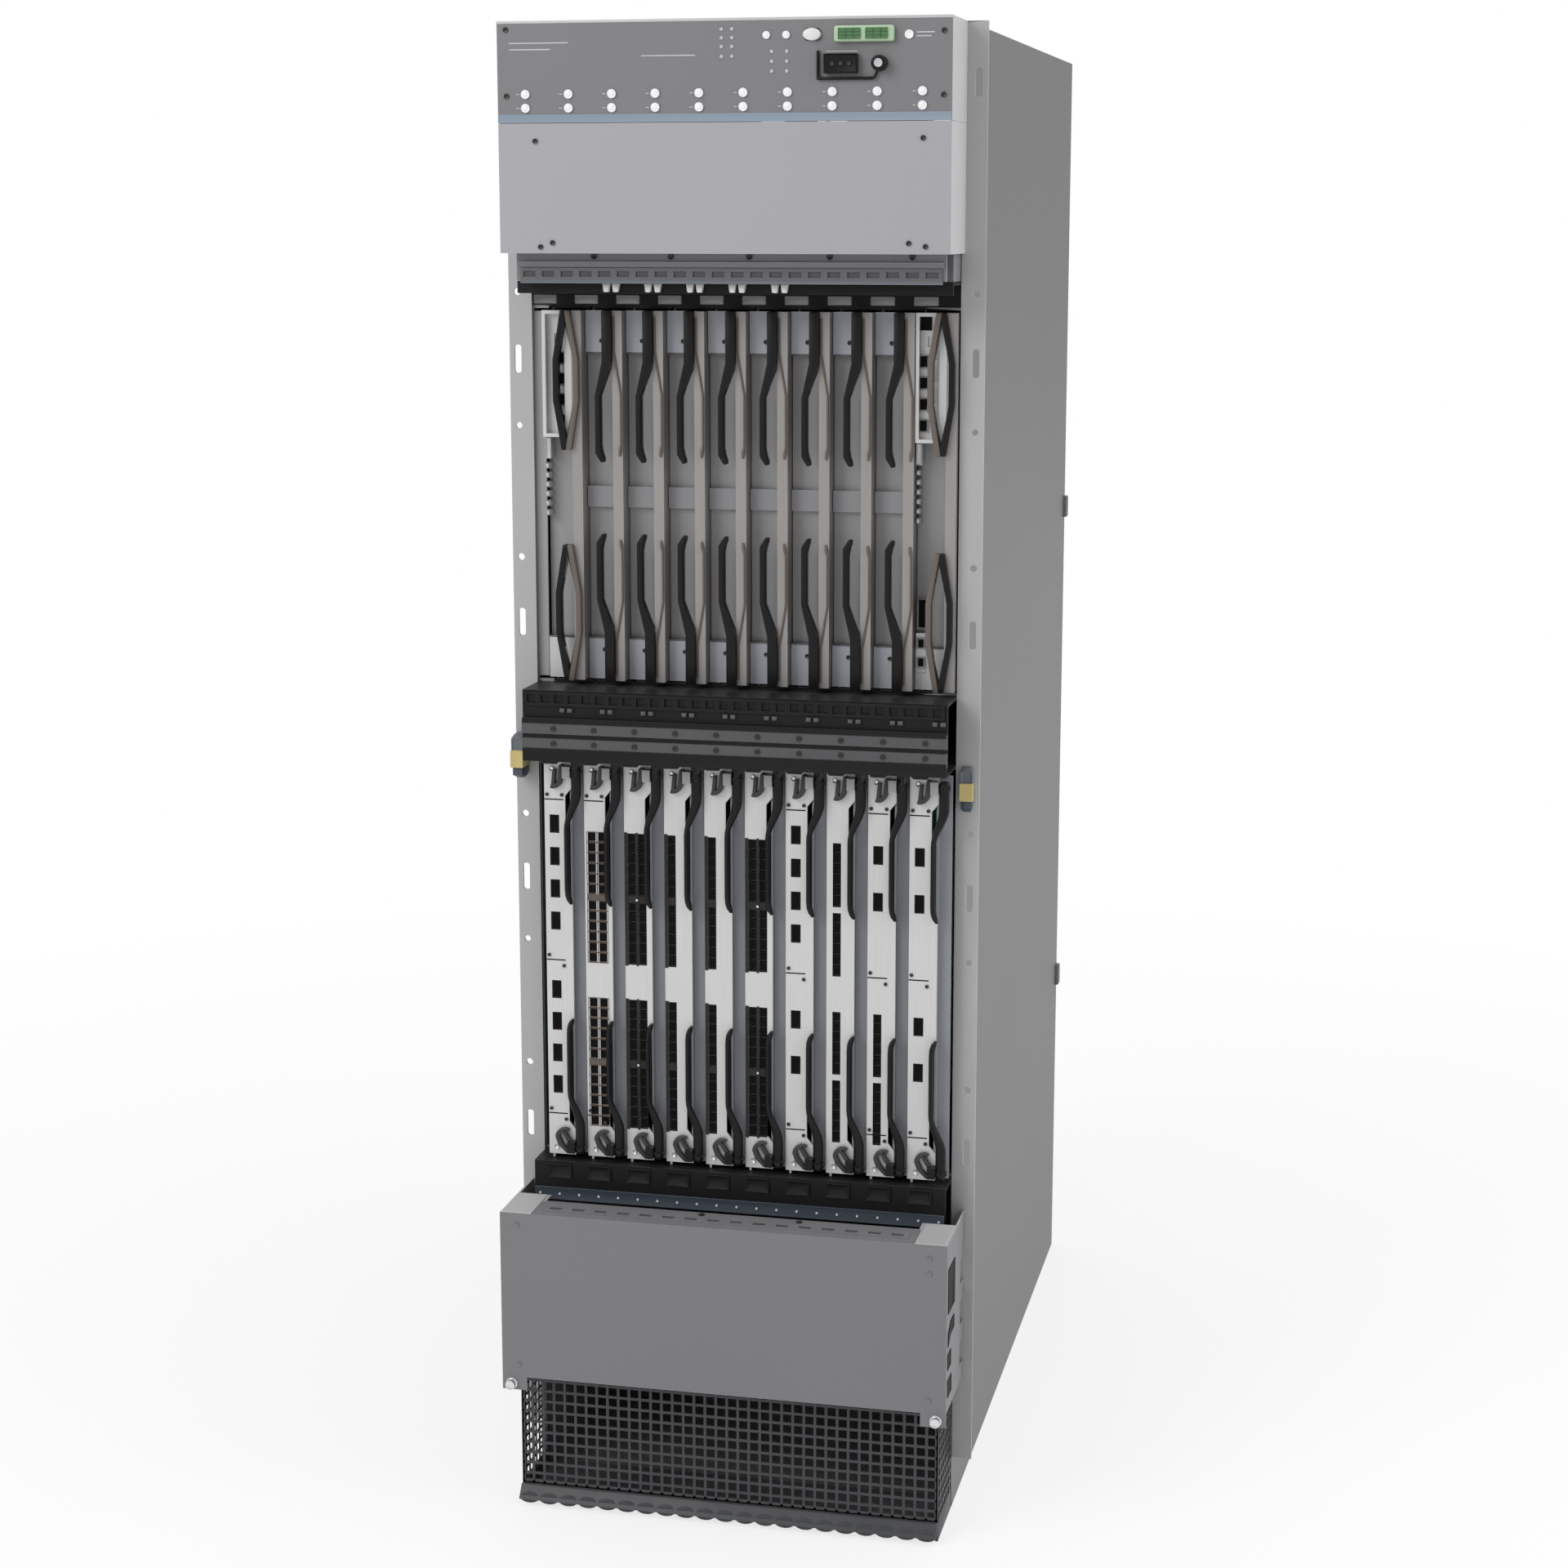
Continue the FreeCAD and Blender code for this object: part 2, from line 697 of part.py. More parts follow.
def make_fabric_board(number):
    """Switch fabric board with two end blocks and a crossbar on its recessed face."""
    name = f"fabric_board_{number - 1}"
    body = new_body(name, slot_centre(number), FABRIC_FLOOR)
    add_fabric_front(body, handle_outlines())
    low, high = "face_gap", "(fabric_cage_height - face_gap)"
    add_face_block(body, low, f"{low} + end_block_height", "end_block_step")
    add_face_block(body, f"{high} - end_block_height", high, "end_block_step")
    middle = "fabric_cage_height / 2"
    add_face_block(body, f"{middle} - crossbar_height / 2", f"{middle} + crossbar_height / 2", "crossbar_step")
    return finish(body, name)


def add_jack_tray(body, low, high):
    """Shallow rimmed tray with a column of square jacks."""
    left, right = "-fabric_width / 2", "fabric_width / 2"
    slab(body, "front", rectangle(left, low, right, high), "-tray_reach",
         "tray_reach + fabric_recess + face_thickness")
    rim = "tray_rim"
    floor = rectangle(f"{left} + {rim}", f"{low} + {rim}", f"{right} - {rim} - handle_width", f"{high} - {rim}")
    cutout(body, "front", [floor], "-tray_reach", "tray_depth")
    half = "jack_size / 2"
    bottom = f"({low} + jack_margin)"
    jack = rectangle(f"-{half}", bottom, half, f"{bottom} + jack_size")
    hole = cutout(body, "front", [jack], "tray_depth - tray_reach", "port_depth")
    repeat(body, [hole], "V", "jack_pitch", "4")


def make_control_board(name, number):
    """Control board: the fabric board's frame with loop handles and a rimmed tray of jacks at its top end."""
    body = new_body(name, slot_centre(number), FABRIC_FLOOR)
    add_fabric_front(body, loop_outlines())
    low, high = "face_gap", "(fabric_cage_height - face_gap)"
    add_face_block(body, low, f"{low} + end_block_height", "end_block_step")
    add_jack_tray(body, f"({high} - tray_height)", high)
    return finish(body, name)


def hood_part(body, low, high, keep_low, keep_high):
    """Part of the hood in front of the flange: a front plate with its sides folded back."""
    half = "body_width / 2"
    slab(body, "front", rectangle(f"-{half}", low, half, high), "-hood_reach", "hood_reach")
    inner = f"({half} - wall)"
    outline = rectangle(f"-{inner}", f"{low} + {keep_low}", inner, f"{high} - {keep_high}")
    cutout(body, "front", [outline], "-hood_reach + wall", "hood_reach - wall")


CONTROL_LINE = f"({HEIGHT} - control_line)"
BUTTON = ("button_x", CONTROL_LINE)


def make_status_panel():
    """Top part of the hood, with the hole of the alarm button."""
    body = new_body("status_panel")
    hood_part(body, STATUS_BOTTOM, HEIGHT, "0", "wall")
    hole = oval_outline(BUTTON, "button_width + 2 * clearance", "button_height + 2 * clearance")
    cutout(body, "front", [hole], "-hood_reach", "wall")
    return finish(body, "status_panel")


def make_alarm_button():
    """Oval push button, held by a lip behind the panel."""
    body = new_body("alarm_button")
    length = "button_proud + wall + clearance + button_lip"
    slab(body, "front", oval_outline(BUTTON, "button_width", "button_height"),
         "-hood_reach - button_proud", length)
    lip = "2 * button_lip"
    slab(body, "front", oval_outline(BUTTON, f"button_width + {lip}", f"button_height + {lip}"),
         "-hood_reach + wall + clearance", "button_lip")
    return finish(body, "alarm_button")


LAMP_SIDES = 6


def new_lamp(name, x, z, radius):
    lamp = doc.addObject("Part::Prism", name)
    lamp.Placement.Rotation = FreeCAD.Rotation(FreeCAD.Vector(1, 0, 0), 90)
    place(lamp, x, f"{FLANGE} - hood_reach", z)
    lamp.Polygon = LAMP_SIDES
    link(lamp, "Circumradius", radius)
    link(lamp, "Height", "lamp_proud")
    return lamp


def make_lamps():
    """Two rows of round slot lamps, one pair above each line card, and two pilot lamps."""
    lamps = []
    pitch = "2 * lamp_start / (slot_count - 1)"
    for number in range(int(SIZES["slot_count"])):
        for row in (0, 1):
            height = f"{STATUS_BOTTOM} + lamp_rise + {row} * lamp_row_gap"
            lamps.append(new_lamp(f"lamp_{number}_{row}", f"{number} * {pitch} - lamp_start", height, "lamp_radius"))
    for number in (0, 1):
        x = f"pilot_x + {number} * pilot_gap"
        lamps.append(new_lamp(f"pilot_{number}", x, CONTROL_LINE, "pilot_radius"))
    group = doc.addObject("Part::Compound", "status_lamps")
    group.Links = lamps
    return finish(group, "status_lamps")


def make_relay_terminals():
    """Terminal strip of two plug blocks on one base plate."""
    body = new_body("relay_terminals")
    half = "relay_width / 2"
    low, high = f"{CONTROL_LINE} - relay_height / 2", f"{CONTROL_LINE} + relay_height / 2"
    plate = rectangle(f"relay_x - {half}", low, f"relay_x + {half}", high)
    slab(body, "front", plate, "-hood_reach - relay_plate", "relay_plate")
    for sign in "-+":
        centre = f"(relay_x {sign} relay_width / 4)"
        block = rectangle(f"{centre} - relay_block / 2", f"{low} + relay_plate",
                          f"{centre} + relay_block / 2", f"{high} - relay_plate")
        slab(body, "front", block, "-hood_reach - relay_proud", "relay_proud")
    return finish(body, "relay_terminals")


KNOB_SIDES = 10


def make_service_port():
    """Service connector block with a wire guard bent round it to its clamp knob."""
    body = new_body("service_port")
    centre = f"({HEIGHT} - port_drop)"
    left, right = "(port_x - port_width / 2)", "(port_x + port_width / 2)"
    low, high = f"({centre} - port_height / 2)", f"({centre} + port_height / 2)"
    slab(body, "front", rectangle(left, low, right, high), "-hood_reach - port_proud", "port_proud")
    knob = "(port_x + knob_reach)"
    guard_left = f"({left} - guard_margin)"
    guard_low = f"({low} - guard_rise)"
    guard = [
        (guard_left, f"{high} + guard_rise"), (guard_left, guard_low), (f"{knob} - knob_radius", guard_low),
        (knob, centre), (knob, f"{centre} + guard_width"), (f"{knob} - knob_radius", f"{guard_low} + guard_width"),
        (right, f"{guard_low} + guard_width"), (right, f"{low} + guard_width"), (left, f"{low} + guard_width"),
        (left, f"{guard_low} + guard_width"), (f"{guard_left} + guard_width", f"{guard_low} + guard_width"),
        (f"{guard_left} + guard_width", f"{high} + guard_rise"),
    ]
    slab(body, "front", guard, "-hood_reach - guard_width", "guard_width")
    slab(body, "front", ring((knob, centre), "knob_radius", KNOB_SIDES), "-hood_reach - knob_proud",
         "knob_proud")
    return finish(body, "service_port")


def make_access_panel():
    """Plain panel in front of the top bay, with a fixing lip folded down below it."""
    body = new_body("upper_access_panel")
    hood_part(body, ACCESS_BOTTOM, f"({STATUS_BOTTOM} - panel_seam)", "wall", "0")
    half = "(body_width / 2 - lip_margin)"
    lip = rectangle(f"-{half}", f"{ACCESS_BOTTOM} - lip_height", half, f"{ACCESS_BOTTOM} + wall")
    slab(body, "front", lip, "-lip_reach", "wall")
    return finish(body, "upper_access_panel")


def make_upper_rail():
    """Card rail above the fabric cage: a web on the shelf edge, a top and a front skirt."""
    body = new_body("upper_card_rail")
    web, low = "cage_front", f"({FABRIC_TOP} + {RAIL_KEEP})"
    high = f"({low} + upper_rail_height)"
    skirt, sheet_gap = "-upper_rail_reach", "rail_thickness"
    slab(body, "side", [
        (web, low), (web, high), (skirt, high), (skirt, f"{high} - upper_rail_skirt"),
        (f"{skirt} + {sheet_gap}", f"{high} - upper_rail_skirt"), (f"{skirt} + {sheet_gap}", f"{high} - {sheet_gap}"),
        (f"{web} - {sheet_gap}", f"{high} - {sheet_gap}"), (f"{web} - {sheet_gap}", low),
    ], "-rail_width / 2", "rail_width")
    return finish(body, "upper_card_rail")


def make_middle_rail():
    """Channel between the two cages, with two raised bars and a row of fingers below."""
    body = new_body("middle_card_rail")
    low, high = f"({LINE_TOP} + {RAIL_KEEP})", f"({FABRIC_FLOOR} - {RAIL_KEEP})"
    web, front, sheet_gap = "cage_front", "-middle_rail_reach", "rail_thickness"
    half = "rail_width / 2"
    slab(body, "side", [
        (web, low), (front, low), (front, high), (web, high), (web, f"{high} - {sheet_gap}"),
        (f"{front} + {sheet_gap}", f"{high} - {sheet_gap}"), (f"{front} + {sheet_gap}", f"{low} + {sheet_gap}"),
        (web, f"{low} + {sheet_gap}"),
    ], f"-{half}", "rail_width")
    middle = f"(({low} + {high}) / 2 - middle_rib_drop)"
    for sign in "-+":
        centre = f"({middle} {sign} middle_rib_gap / 2)"
        bar = rectangle(f"-{half}", f"{centre} - middle_rib_height / 2", half, f"{centre} + middle_rib_height / 2")
        slab(body, "front", bar, f"{front} - middle_rib_proud", "middle_rib_proud")
    centre = f"({slot_centre(1)} + finger_offset)"
    finger = rectangle(f"{centre} - finger_width / 2", f"{low} - finger_drop",
                       f"{centre} + finger_width / 2", f"{low} + {sheet_gap}")
    tooth = slab(body, "front", finger, front, "4 * rail_thickness")
    repeat(body, [tooth], "H", "slot_pitch", "slot_count - 1")
    return finish(body, "middle_card_rail")


def make_lower_rail():
    """Angle below the line cards: a top on the shelf edge and a skirt that takes slot labels."""
    body = new_body("lower_card_rail")
    web, front, sheet_gap = "cage_front", "-lower_rail_reach", "rail_thickness"
    high = f"({LINE_FLOOR} - {RAIL_KEEP})"
    slab(body, "side", [
        (web, high), (front, high), (front, f"{high} - lower_rail_skirt"),
        (f"{front} + {sheet_gap}", f"{high} - lower_rail_skirt"), (f"{front} + {sheet_gap}", f"{high} - {sheet_gap}"),
        (web, f"{high} - {sheet_gap}"),
    ], "-rail_width / 2", "rail_width")
    return finish(body, "lower_card_rail")


def make_lower_cover():
    """Deep cover at the foot: front plate, folded ledge, corner gussets and slotted sides."""
    body = new_body("lower_cover")
    half, inner = "cover_width / 2", "(cover_width / 2 - wall)"
    low, high = "cover_bottom", "cover_top"
    slab(body, "front", rectangle(f"-{half}", low, half, high), "-cover_reach", "cover_reach")
    hollow = rectangle(f"-{inner}", f"{low} - wall", inner, f"{high} + wall")
    cutout(body, "front", [hollow], "-cover_reach + wall", "cover_reach - wall")
    ledge = rectangle(f"-{inner}", f"{high} - wall", inner, high)
    slab(body, "front", ledge, "-cover_reach", "cover_ledge")
    for side in ("-", ""):
        gusset = rectangle(f"{side}{inner}", f"{high} - wall", f"{side}({inner} - gusset_width)", high)
        slab(body, "front", gusset, "-cover_reach", "gusset_depth")
        lug = rectangle(f"{side}{half}", f"{low} - lug_drop", f"{side}({half} - lug_width)", low)
        slab(body, "front", lug, "-cover_reach", "wall")
    pitch, window = "cover_window_pitch", "cover_window"
    first = f"({low} + {pitch} - {window})"
    deep = "-cover_reach / 2 + cover_ledge"
    outlines = [rectangle(f"{deep} - {window} / 2", f"{first} + {step} * {pitch}",
                          f"{deep} + {window} / 2", f"{first} + {step} * {pitch} + {window}") for step in range(3)]
    cutout(body, "side", outlines, f"-{half}", "cover_width")
    return finish(body, "lower_cover")


GRILLE_ROWS = 5


def make_grille():
    """Perforated intake pan at the foot, folded back to the shell on both sides."""
    body = new_body("intake_grille")
    half, inner = "body_width / 2", "(body_width / 2 - wall)"
    slab(body, "front", rectangle(f"-{half}", "0", half, "grille_height"), "-grille_reach", "grille_reach")
    hollow = rectangle(f"-{inner}", "wall", inner, "grille_height + wall")
    cutout(body, "front", [hollow], "-grille_reach + wall", "grille_reach - wall")
    first = "-(grille_columns - 1) / 2 * grille_pitch"
    column = []
    for row in range(GRILLE_ROWS):
        bottom = f"grille_first_row + {row} * grille_pitch"
        column.append(rectangle(f"{first} - grille_hole / 2", bottom,
                                f"{first} + grille_hole / 2", f"{bottom} + grille_hole"))
    holes = cutout(body, "front", column, "-grille_reach", "wall")
    repeat(body, [holes], "H", "grille_pitch", "grille_columns")
    return finish(body, "intake_grille")


FAN_HEIGHT = f"({TOP_BAY} + (top_bay_height - wall) / 2)"
FAN_FRONT = "(chassis_depth - fan_depth)"


FAN_SIDES = 16
SPINDLE_SIDES = 10


def make_fan_tray():
    """Rear fan tray: a plate with two square ducts, each crossed by spokes that hold a motor and spindle."""
    body = new_body("rear_fan_tray")
    rear = "chassis_depth"
    half = "inner_width / 2"
    slab(body, "front", rectangle(f"-{half}", TOP_BAY, half, f"{HEIGHT} - wall"), f"{rear} - wall", "wall")
    for side in "-+":
        x, z = centre = (f"0 {side} fan_spacing / 2", FAN_HEIGHT)
        duct = "(fan_radius + shroud_wall)"
        frame = rectangle(f"{x} - {duct}", f"{z} - {duct}", f"{x} + {duct}", f"{z} + {duct}")
        slab(body, "front", frame, FAN_FRONT, "fan_depth - wall")
        cutout(body, "front", [ring(centre, "fan_radius", FAN_SIDES)], FAN_FRONT, "fan_depth")
        arm = "spoke_width / 2"
        spokes = [rectangle(f"{x} - {duct}", f"{z} - {arm}", f"{x} + {duct}", f"{z} + {arm}"),
                  rectangle(f"{x} - {arm}", f"{z} - {duct}", f"{x} + {arm}", f"{z} + {duct}")]
        for spoke in spokes:
            slab(body, "front", spoke, f"{rear} - spoke_depth", "spoke_depth")
        motor = ring(centre, "motor_radius", FAN_SIDES // 2)
        slab(body, "front", motor, f"{rear} - motor_depth", "motor_depth")
        spindle = ring(centre, "spindle_radius", SPINDLE_SIDES)
        slab(body, "front", spindle, FAN_FRONT, "fan_depth")
    return finish(body, "rear_fan_tray")


def make_rotor(name, side):
    """Fan rotor: a bored hub with two flats for each pitched blade, carried on the tray's spindle."""
    body = new_body(name, f"0 {side} fan_spacing / 2", FAN_HEIGHT)
    centre = ("0", "0")
    front = f"({FAN_FRONT} + spoke_depth)"
    rear = f"({front} + hub_depth)"
    hub_flats = 2 * int(SIZES["blade_count"])
    slab(body, "front", ring(centre, round_flats("hub_radius", hub_flats), hub_flats), front, "hub_depth")
    run = "blade_sweep"
    blade = [(f"-{run}", front), (f"blade_thickness - {run}", front), (run, rear), (f"{run} - blade_thickness", rear)]
    root = "(hub_radius - blade_sweep / 2)"
    fin = slab(body, "plan", blade, root, f"fan_radius - tip_gap - {root}")
    fan = body.newObject("PartDesign::PolarPattern", "blades")
    fan.Originals = [fin]
    fan.Axis = (origin_feature(body, "Y_Axis"), [""])
    fan.Angle = 360
    link(fan, "Occurrences", "blade_count")
    body.Tip = fan
    eye = ring(centre, round_flats("spindle_radius + spindle_play", SPINDLE_SIDES), SPINDLE_SIDES)
    cutout(body, "front", [eye], front, "hub_depth")
    return finish(body, name)


MODULE_TOP = "(module_shelf + clearance + module_height)"


def make_rear_cover():
    """Rear cover of the card cage, set in from the rear edge, with two pull handles."""
    body = new_body("rear_cover")
    half = "inner_width / 2"
    face = "(chassis_depth - rear_inset)"
    low = f"({MODULE_TOP} + clearance)"
    slab(body, "front", rectangle(f"-{half}", low, half, TOP_BAY), face, "wall")
    centre = f"(({low} + {TOP_BAY}) / 2)"
    foot, top, bar = f"({face} + wall)", f"({face} + wall + pull_reach)", "pull_bar"
    low_end, high_end = f"({centre} - pull_height / 2)", f"({centre} + pull_height / 2)"
    pull = [
        (foot, low_end), (top, low_end), (top, high_end), (foot, high_end),
        (foot, f"{high_end} - {bar}"), (f"{top} - {bar}", f"{high_end} - {bar}"),
        (f"{top} - {bar}", f"{low_end} + {bar}"), (foot, f"{low_end} + {bar}"),
    ]
    for side in "-+":
        slab(body, "side", pull, f"0 {side} pull_offset - {bar} / 2", bar)
    return finish(body, "rear_cover")


def new_box(name, size, corner):
    box = doc.addObject("Part::Box", name)
    for prop, text in zip(("Length", "Width", "Height"), size):
        link(box, prop, text)
    place(box, *corner)
    return box


def make_power_modules():
    """Row of plug-in power modules, each with a mains inlet and a latch tab."""
    modules = []
    face = f"({FLANGE} + chassis_depth - module_inset)"
    floor = "(module_shelf + clearance)"
    for number in range(1, int(SIZES["module_count"]) + 1):
        centre = f"({number} - (module_count + 1) / 2) * module_pitch"
        case = new_box(f"module_case_{number}", ("module_width", "module_depth", "module_height"),
                       (f"{centre} - module_width / 2", f"{face} - module_depth", floor))
        inlet = new_box(f"module_inlet_{number}", ("inlet_width", "inlet_depth", "inlet_height"),
                        (f"{centre} - inlet_width / 2", f"{face} - inlet_depth", f"{floor} + inlet_rise"))
        latch = new_box(f"module_latch_{number}", ("latch_width", "latch_proud", "latch_height"),
                        (f"{centre} - latch_width / 2", face, f"{floor} + module_height - inlet_rise"))
        socket = doc.addObject("Part::Cut", f"module_socket_{number}")
        socket.Base = case
        socket.Tool = inlet
        module = doc.addObject("Part::Fuse", f"module_{number}")
        module.Base = socket
        module.Tool = latch
        modules.append(module)
    group = doc.addObject("Part::Compound", "power_modules")
    group.Links = modules
    return finish(group, "power_modules")


def build():
    make_wrap()
    make_base()
    make_cage()
    make_midplane()
    slots = range(1, int(SIZES["slot_count"]) + 1)
    for number in slots:
        make_line_card(number)
        for end in ("upper", "lower"):
            make_lever(number, end)
    make_control_board("control_board_left", slots[0])
    for number in slots[1:-1]:
        make_fabric_board(number)
    make_control_board("control_board_right", slots[-1])
    make_status_panel()
    make_lamps()
    make_alarm_button()
    make_relay_terminals()
    make_service_port()
    make_access_panel()
    make_upper_rail()
    make_middle_rail()
    make_lower_rail()
    make_lower_cover()
    make_grille()
    make_fan_tray()
    make_rotor("fan_rotor_left", "-")
    make_rotor("fan_rotor_right", "+")
    make_rear_cover()
    make_power_modules()


def check():
    """Stops the script if an object failed or a sub-part's shape is empty or broken."""
    for item in doc.Objects:
        if {"Invalid", "Error"} & set(item.State):
            raise RuntimeError(f"{item.Label} failed: {item.State}")
    for item in nodes:
        if item.Shape.isNull() or not item.Shape.isValid() or not item.Shape.Solids:
            raise RuntimeError(f"{item.Label} has no valid solid")


build()
doc.recompute()
check()
os.makedirs("parts", exist_ok=True)
for item in nodes:
    item.Shape.exportStep(f"parts/{item.Label}.step")
print(f"{len(nodes)} sub-parts written")
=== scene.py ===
import math

import bpy
from mathutils import Matrix, Vector


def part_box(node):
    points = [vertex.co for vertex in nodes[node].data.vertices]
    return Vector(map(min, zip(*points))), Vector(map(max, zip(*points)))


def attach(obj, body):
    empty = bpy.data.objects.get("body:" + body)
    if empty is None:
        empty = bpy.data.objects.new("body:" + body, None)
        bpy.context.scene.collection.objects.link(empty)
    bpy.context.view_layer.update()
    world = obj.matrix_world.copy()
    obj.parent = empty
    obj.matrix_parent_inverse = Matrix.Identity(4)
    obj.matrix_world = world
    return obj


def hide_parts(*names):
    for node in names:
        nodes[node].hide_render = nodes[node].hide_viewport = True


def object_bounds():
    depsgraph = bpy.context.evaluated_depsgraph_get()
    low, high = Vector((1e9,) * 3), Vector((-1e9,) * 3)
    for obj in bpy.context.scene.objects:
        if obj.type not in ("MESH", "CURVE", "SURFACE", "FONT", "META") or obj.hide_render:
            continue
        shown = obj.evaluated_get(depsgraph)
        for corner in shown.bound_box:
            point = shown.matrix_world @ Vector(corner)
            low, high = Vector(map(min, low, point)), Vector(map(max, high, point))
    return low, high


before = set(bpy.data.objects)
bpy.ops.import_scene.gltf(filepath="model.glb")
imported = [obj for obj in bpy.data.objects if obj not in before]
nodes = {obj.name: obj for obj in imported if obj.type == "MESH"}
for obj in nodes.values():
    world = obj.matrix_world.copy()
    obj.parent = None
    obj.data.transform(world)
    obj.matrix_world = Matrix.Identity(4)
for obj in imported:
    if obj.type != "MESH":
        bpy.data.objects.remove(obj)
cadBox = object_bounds()
mm = 0.001

# places taken from the CAD frame, in mm: x across, y back from the rack flange, z up
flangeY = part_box("status_panel")[1].y


def span(node):
    # low and high corner of a CAD node
    return [(p.x / mm, (p.y - flangeY) / mm, p.z / mm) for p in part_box(node)]


slotCount = 10
slots = range(1, slotCount + 1)
cardNodes = [f"line_card_{n:02d}" for n in slots]
fabricNodes = ["control_board_left"] + [f"fabric_board_{n}" for n in range(1, 9)] + ["control_board_right"]
plainBoards, controlBoards = fabricNodes[1:-1], fabricNodes[::slotCount - 1]
cardLow, cardHigh = span(cardNodes[0])
boardLow, boardHigh = span(plainBoards[0])
panelLow, panelHigh = span("status_panel")
slotPitch = (span(cardNodes[-1])[0][0] - cardLow[0]) / (slotCount - 1)
slotX = {n: (n - (slotCount + 1) / 2) * slotPitch for n in slots}
placeOf = {name: slotX[n] for names in (cardNodes, fabricNodes) for n, name in zip(slots, names)}
tongue = 2.2  # how far a board runs into its groove
lugReach = 9.6  # how far the lugs of a line card stand out from its face
cardGap, boardGap = 13.6, 10.9  # what a face leaves free of its pitch
flangeInner = 217.4
lineFloor, lineTop = cardLow[2] + tongue, cardHigh[2] - tongue
fabricFloor, fabricTop = boardLow[2] + tongue, boardHigh[2] - tongue
cardFace = cardLow[1] + lugReach
cardHalf, boardHalf = (slotPitch - cardGap) / 2, (slotPitch - boardGap) / 2
hoodFace, statusBottom, topEdge, halfBody = panelLow[1], panelLow[2], panelHigh[2], panelHigh[0]
rearEdge = span("outer_wrap")[1][1]
front, rear = Vector((0, -1, 0)), Vector((0, 1, 0))
top, under = Vector((0, 0, 1)), Vector((0, 0, -1))
right, left = Vector((1, 0, 0)), Vector((-1, 0, 0))
squareOff = 0.9  # least cosine at which a face still counts as facing a side
bevelAngle, smoothAngle = 35, 40  # degrees between two faces


def at(x, y, z):
    return Vector((x * mm, flangeY + y * mm, z * mm))


def mirrored(side, near, far):
    # range across on one side of the middle
    return sorted((side * near, side * far))


def endOf(end, floor, ceiling, margin):
    # level of one end of a board and the way from there to its middle
    return (floor + margin, 1) if end == "lower" else (ceiling - margin, -1)


def clearSelection():
    if bpy.context.mode != "OBJECT":
        bpy.ops.object.mode_set(mode="OBJECT")
    bpy.ops.object.select_all(action="DESELECT")


def activate(piece):
    clearSelection()
    piece.select_set(True)
    bpy.context.view_layer.objects.active = piece


def applyPlace(name):
    piece = bpy.context.object
    piece.name = name
    bpy.ops.object.transform_apply(location=True, rotation=True, scale=True)
    return piece


def startBlock(name, low, high):
    clearSelection()
    low, high = at(*low), at(*high)
    bpy.ops.mesh.primitive_cube_add(size=1, location=(low + high) / 2, scale=high - low)
    return applyPlace(name)


def startRod(name, centre, spec, axis="Y"):
    clearSelection()
    turn = {"X": (0, math.pi / 2, 0), "Y": (math.pi / 2, 0, 0), "Z": (0, 0, 0)}[axis]
    bpy.ops.mesh.primitive_cylinder_add(vertices=spec["sides"], radius=spec["radius"] * mm, depth=spec["length"] * mm,
                                        location=at(*centre), rotation=turn, scale=(1, spec.get("squash", 1), 1))
    return applyPlace(name)


def pickFaces(piece, test):
    # leaves the piece in edit mode with the faces that pass the test selected
    activate(piece)
    mesh = piece.data
    for part in (mesh.vertices, mesh.edges, mesh.polygons):
        part.foreach_set("select", [False] * len(part))
    for face in mesh.polygons:
        face.select = bool(test(face.center, face.normal))
    bpy.context.tool_settings.mesh_select_mode = (False, False, True)
    bpy.ops.object.mode_set(mode="EDIT")


def leaveEdit():
    bpy.ops.object.mode_set(mode="OBJECT")
    return bpy.context.object


def anyFace(centre, normal):
    return True


def toward(side):
    return lambda centre, normal: normal.dot(side) > squareOff


def insetFaces(piece, test, rim, push, single=False):
    pickFaces(piece, test)
    bpy.ops.mesh.inset(thickness=rim * mm, depth=0, use_individual=single)
    bpy.ops.transform.translate(value=Vector(push) * mm)
    return leaveEdit()


def setIn(piece, spec, side=front):
    # a rim round the faces on one side, and what it frames pushed in
    return insetFaces(piece, toward(side), spec["rim"], -spec["sink"] * side)


def drawOut(piece, side, push, grow=(1, 1, 1)):
    pickFaces(piece, toward(side))
    bpy.ops.mesh.extrude_region_move(TRANSFORM_OT_translate={"value": Vector(push) * mm})
    if grow != (1, 1, 1):
        bpy.ops.transform.resize(value=grow)
    return leaveEdit()


def addModifier(piece, kind, **settings):
    activate(piece)
    modifier = piece.modifiers.new(kind.lower(), kind)
    for key, value in settings.items():
        setattr(modifier, key, value)
    bpy.ops.object.modifier_apply(modifier=modifier.name)
    return piece


def soften(piece, spec):
    # bevelled edges, where the piece has a width for them
    if "soft" not in spec:
        return piece
    return addModifier(piece, "BEVEL", width=spec["soft"] * mm, segments=spec.get("segments", 2), limit_method="ANGLE",
                       angle_limit=math.radians(spec.get("angle", bevelAngle)))


def startTile(name, spec, base=(0, 0, 0), side=front):
    # block from its ranges on three axes and a base point, with one side set in
    low, high = ([base[axis] + spec[key][end] for axis, key in enumerate("xyz")] for end in (0, 1))
    tile = startBlock(name, low, high)
    return setIn(tile, spec, side) if "rim" in spec else tile


def makeTile(name, spec, base=(0, 0, 0), side=front):
    return soften(startTile(name, spec, base, side), spec)


def makeDrawn(name, spec, base, way):
    # tile with the faces on one side drawn out and tapered
    return soften(drawOut(startTile(name, spec, base), way, spec["draw"], spec["taper"]), spec)


def makeBoss(name, spec, centre, axis="Y", side=front):
    # rod with one end set in
    return soften(setIn(startRod(name, centre, spec, axis), spec, side), spec)


